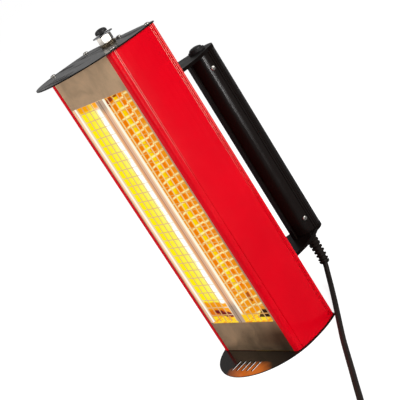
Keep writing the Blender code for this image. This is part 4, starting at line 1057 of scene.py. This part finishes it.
def make_plug(start, heading):
    """A round moulded plug with a ribbed neck, finger rings and a rounded face."""
    outer = PLUG_RADIUS
    axis = Vector((start.x, start.y, outer + PLUG_FLOOR_GAP))
    turn = Vector((0, 0, -1)).rotation_difference(heading).to_matrix().to_4x4()
    at = Matrix.Translation(axis) @ turn
    profile = [(0, 0), (0.0048, 0), (0.0052, -0.0004)]
    for i in range(NECK_RIBS):
        z = -0.0020 - i * 0.0038
        r = 0.0053 + 0.0018 * i / (NECK_RIBS - 1)
        inner = r - 0.0009
        profile += [(r, z), (r, z - 0.0020), (inner, z - 0.0024), (inner, z - 0.0036)]
    profile += [(0.0078, -0.0262), (0.0112, -0.0275), (0.0146, -0.0302), (0.0166, -0.0340)]
    profile += [(0.0176, -0.0378)]
    inner = outer - 0.0008
    for i in range(FINGER_RINGS):
        z = -0.0395 - i * 0.0036
        profile += [(outer, z), (outer, z - 0.0016), (inner, z - 0.0020), (inner, z - 0.0031)]
    profile += [(outer, -0.0580), (outer, -0.0608), (0.0174, -0.0617), (0.0166, -0.0620)]
    profile += [(0, -0.0620)]
    name = "plug_moulded_body"
    plug = piece(name, lathe_mesh(name, profile, 48, at), PLUG)
    work = bmesh.new()
    sideways = heading.cross(Vector((0, 0, 1)))
    for side in (-1, 1):
        shift = Matrix.Translation(side * PIN_SPREAD * sideways)
        bmesh.ops.create_cone(
            work,
            cap_ends=True,
            segments=20,
            radius1=SOCKET_RADIUS,
            radius2=SOCKET_RADIUS,
            depth=0.0084,
            matrix=shift @ at @ Matrix.Translation((0, 0, -0.0600)),
        )
    cut_out(plug, mesh_of("plug_sockets", work, turn_faces=False))
    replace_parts(plug, "plug_body")
    return plug


def cut_out(obj, shape, crossing=False):
    """Takes a shape out of the piece for good; crossing is for one that crosses itself."""
    cutter = placed(shape.name, shape)
    modifier = obj.modifiers.new("cut", "BOOLEAN")
    modifier.operation = "DIFFERENCE"
    modifier.solver = "EXACT"
    modifier.use_self = crossing
    modifier.object = cutter
    graph = bpy.context.evaluated_depsgraph_get()
    mesh = bpy.data.meshes.new_from_object(obj.evaluated_get(graph))
    obj.modifiers.clear()
    old = obj.data
    obj.data = mesh
    bpy.data.meshes.remove(old)
    bpy.data.objects.remove(cutter, do_unlink=True)
    rounded(mesh)


make_cord()


# Grilles

def bars_mesh(name, bars):
    """Round wires between pairs of points."""
    work = bmesh.new()
    for start, end in bars:
        axis = end - start
        turn = Vector((0, 0, 1)).rotation_difference(axis).to_matrix().to_4x4()
        bmesh.ops.create_cone(
            work,
            cap_ends=True,
            segments=8,
            radius1=WIRE_RADIUS,
            radius2=WIRE_RADIUS,
            depth=axis.length,
            matrix=Matrix.Translation((start + end) / 2) @ turn,
        )
    return mesh_of(name, work, turn_faces=False)


def make_grille(side, label):
    """Long wires in front of cross wires, welded where they cross."""
    low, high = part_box("grille_" + label)
    front = low.y + WIRE_RADIUS
    behind = high.y - WIRE_RADIUS
    middle = (low.z + high.z) / 2
    along = []
    for i in range(LONG_WIRES):
        x = side * (OUTER_LONG_WIRE - LONG_WIRE_PITCH * i)
        along.append((Vector((x, front, low.z)), Vector((x, front, high.z))))
    across = []
    for i in range(CROSS_WIRES):
        z = middle + (i - CROSS_WIRES // 2) * CROSS_WIRE_PITCH
        across.append((Vector((low.x, behind, z)), Vector((high.x, behind, z))))
    for part, bars, shader in (("long", along, LONG_WIRE), ("cross", across, CROSS_WIRE)):
        name = "grille_%s_wires_%s" % (part, label)
        wires = piece(name, bars_mesh(name, bars), shader)
        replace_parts(wires, "grille_" + label)


make_grille(1, "right")
make_grille(-1, "left")


# Fasteners

def shank(top, length):
    """Profile of a threaded shank from its top down to its blunt point."""
    points = []
    root = SCREW_SHANK_RADIUS - THREAD_DEPTH
    turns = int((length - 0.0010) / THREAD_PITCH)
    for i in range(turns):
        z = top - THREAD_PITCH / 2 - i * THREAD_PITCH
        points += [(SCREW_SHANK_RADIUS, z), (root, z - THREAD_PITCH / 2)]
    end = top - length
    return points + [(root, end + 0.0006), (0.0009, end), (0, end)]


def cross_screw(node, at, radius, length, sunk=False):
    """A screw with a cross recess; its head stands on z = 0, or is sunk below a flat top."""
    name = node + "_cross"
    if sunk:
        profile = [(0, 0), (radius, 0), (radius, -0.00012), (SCREW_SHANK_RADIUS, -0.0006)]
        profile += shank(-0.0006, length - 0.0006)
        top = 0.0
    else:
        top = HEAD_HEIGHT
        rim = 0.0006
        steps = [math.radians(90 - 11 * i) for i in range(8)]
        profile = [(radius * math.cos(a), rim + (top - rim) * math.sin(a)) for a in steps]
        profile[0] = (0, top)
        profile += [(radius, 0.00045), (radius, 0.0001), (radius - 0.0001, 0)]
        profile += [(SCREW_SHANK_RADIUS, 0)]
        profile += shank(0, length)
    screw = piece(name, lathe_mesh(name, profile, 24, at), SCREW_STEEL)
    work = bmesh.new()
    for turn in (0.3, 0.3 + math.pi / 2):
        made = bmesh.ops.create_cube(work, size=1.0)["verts"]
        for vert in made:
            deep = vert.co.z < 0
            vert.co.x *= radius * (0.55 if deep else 1.15)
            vert.co.y *= 0.00034 if deep else 0.00062
            vert.co.z = top - RECESS_DEPTH if deep else top + 0.0004
        bmesh.ops.rotate(work, verts=made, cent=(0, 0, 0), matrix=Matrix.Rotation(turn, 3, "Z"))
    bmesh.ops.transform(work, matrix=at, verts=work.verts)
    cut_out(screw, mesh_of(name + "_recess", work, turn_faces=False), crossing=True)
    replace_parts(screw, node)


def box_and_middle(node):
    """The low corner, the high corner and the middle of a node's box."""
    low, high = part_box(node)
    return low, high, [(a + b) / 2 for a, b in zip(low, high)]


def make_screws():
    """Every screw on its own axis, its head where the solid's is."""
    for number in range(1, 6):
        node = "top_screw_%d" % number
        _, high, (x, y, _) = box_and_middle(node)
        at = Matrix.Translation((x, y, high.z - HEAD_HEIGHT))
        cross_screw(node, at, PLATE_HEAD_RADIUS, LONG_SCREW)
        node = "bottom_screw_%d" % number
        low, _, (x, y, _) = box_and_middle(node)
        at = Matrix.Translation((x, y, low.z)) @ Matrix.Rotation(math.pi, 4, "X")
        cross_screw(node, at, PLATE_HEAD_RADIUS, LONG_SCREW, sunk=True)
    for number in range(1, 5):
        node = "bracket_screw_%d" % number
        _, high, (x, _, z) = box_and_middle(node)
        at = Matrix.Translation((x, high.y - HEAD_HEIGHT, z))
        turn = Matrix.Rotation(-math.pi / 2, 4, "X")
        cross_screw(node, at @ turn, PLATE_HEAD_RADIUS, SHORT_SCREW)
        node = "handle_screw_%d" % number
        _, _, (_, _, z) = box_and_middle(node)
        angle = HANDLE_SCREW_ANGLE if number % 2 else 180.0 - HANDLE_SCREW_ANGLE
        turn = Matrix.Rotation(math.radians(angle), 4, "Z") @ Matrix.Rotation(math.pi / 2, 4, "Y")
        axis = Matrix.Translation((0, HANDLE_Y, z))
        seat = Matrix.Translation((0, 0, HANDLE_SCREW_SEAT))
        cross_screw(node, axis @ turn @ seat, HANDLE_HEAD_RADIUS, SHORT_SCREW)


make_screws()


def make_nut():
    """A tall hexagon nut whose corners are turned off at both ends."""
    low, high, (_, y, _) = box_and_middle("button_nut")
    flat = NUT_CORNER_RADIUS * math.cos(math.pi / 6)
    bore = NUT_BORE
    columns = 96
    turned = 6
    work = bmesh.new()
    rings = []
    outlines = (
        (bore, low.z + 0.0004, 0),
        (bore + 0.0004, low.z, 0),
        (flat * 0.96, low.z, 0),
        (None, low.z, 1),
        (None, high.z, -1),
        (flat * 0.96, high.z, 0),
        (bore + 0.0004, high.z, 0),
        (bore, high.z - 0.0004, 0),
    )
    for radius, level, rise in outlines:
        ring = []
        for k in range(columns):
            a = 2 * math.pi * k / columns + math.radians(turned)
            out = radius
            z = level
            if radius is None:
                off = (math.degrees(a) - turned) % 60 - 30
                out = flat / math.cos(math.radians(off))
                z += rise * (0.00015 + 0.62 * (out - flat * 0.985))
            ring.append(work.verts.new((out * math.cos(a), y + out * math.sin(a), z)))
        rings.append(ring)
    bridge(work, rings + rings[:1])
    name = "button_nut_hex"
    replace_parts(piece(name, mesh_of(name, work), CHROME), "button_nut")


make_nut()


# Stage

FLOOR_HALF_WIDTH = 40.0
FLOOR_GAP = 0.0002
SURROUND_SEEN = 1.0
SURROUND_LIGHT = 0.32


def make_stage():
    """A plain pale floor and an even pale surround."""
    data = bpy.data.meshes.new("floor")
    half = FLOOR_HALF_WIDTH
    corners = [(-half, -half, 0), (half, -half, 0), (half, half, 0), (-half, half, 0)]
    data.from_pydata(corners, [], [(0, 1, 2, 3)])
    floor = placed("floor", data)
    s = Shader("floor_paint")
    path = s.node("ShaderNodeLightPath").outputs["Is Camera Ray"]
    s.colour(s.mix(path, (0.40, 0.40, 0.41), (0.36, 0.36, 0.36)))
    s.glow(s.mix(path, (0.0, 0.0, 0.0), (0.89, 0.89, 0.89)), 1.0)
    s.set("Roughness", 0.8)
    s.set("Specular IOR Level", 0.0)
    dress(floor, s)
    floor.location.z = -FLOOR_GAP
    world = bpy.data.worlds.new("studio")
    SCENE.world = world
    world.use_nodes = True
    nodes = world.node_tree.nodes
    links = world.node_tree.links
    nodes.clear()
    out = nodes.new("ShaderNodeOutputWorld")
    both = nodes.new("ShaderNodeMixShader")
    path = nodes.new("ShaderNodeLightPath")
    links.new(path.outputs["Is Camera Ray"], both.inputs[0])
    for socket, strength in ((both.inputs[1], SURROUND_LIGHT), (both.inputs[2], SURROUND_SEEN)):
        shell = nodes.new("ShaderNodeBackground")
        shell.inputs["Color"].default_value = (1, 1, 1, 1)
        shell.inputs["Strength"].default_value = strength
        links.new(shell.outputs[0], socket)
    links.new(both.outputs[0], out.inputs[0])


def area(name, place, target, size, power, colour=(1, 1, 1)):
    """A rectangular light that shines from place towards target."""
    data = bpy.data.lights.new(name, "AREA")
    data.shape = "RECTANGLE"
    data.size, data.size_y = size
    data.energy = power
    data.color = colour
    obj = placed(name, data)
    obj.location = place
    ahead = Vector(target) - Vector(place)
    obj.rotation_euler = ahead.to_track_quat("-Z", "Y").to_euler()
    obj.visible_camera = False
    return obj


def lit_only(light, node):
    """Keeps a strip's gloss to the named node, as a flag does in a studio."""
    light.visible_diffuse = False
    receivers = bpy.data.collections.new(light.name + "_receivers")
    receivers.objects.link(NODES[node])
    light.light_linking.receiver_collection = receivers


def spare(light, node):
    """Keeps a light's broad glare off one glossy node."""
    spared = bpy.data.collections.new(light.name + "_spared")
    spared.objects.link(NODES[node])
    spared.collection_objects[0].light_linking.link_state = "EXCLUDE"
    light.light_linking.receiver_collection = spared


make_stage()
LAMP_MIDDLE = (0, 0, 0.18)
area("key_light", (1.3, 0.5, 0.9), LAMP_MIDDLE, (0.9, 0.9), 20)
spare(area("front_light", (0.1, -1.4, 0.9), LAMP_MIDDLE, (1.3, 1.0), 16), "top_end_plate")
WARM_WHITE = (1.0, 0.88, 0.80)
corner = (0.07, -0.03, 0.34)
lit_only(
    area("corner_strip", (1.15, -0.35, 0.27), corner, (0.18, 0.10), 90, WARM_WHITE),
    "casing",
)
grip = (0.0, HANDLE_Y, 0.25)
lit_only(area("handle_strip", (1.20, -0.36, 0.10), grip, (0.09, 0.60), 12), "handle_tube")
for name, place, size, power in (
    ("right_card", (1.16, -0.32, 0.24), (0.50, 0.40), 2.2),
    ("left_card", (-0.90, -0.95, 0.26), (0.70, 0.60), 1.1),
):
    card = area(name, place, (0, 0, 0.36), size, power)
    card.visible_diffuse = False
SCENE.view_settings.view_transform = "Standard"
SCENE.view_settings.look = "None"
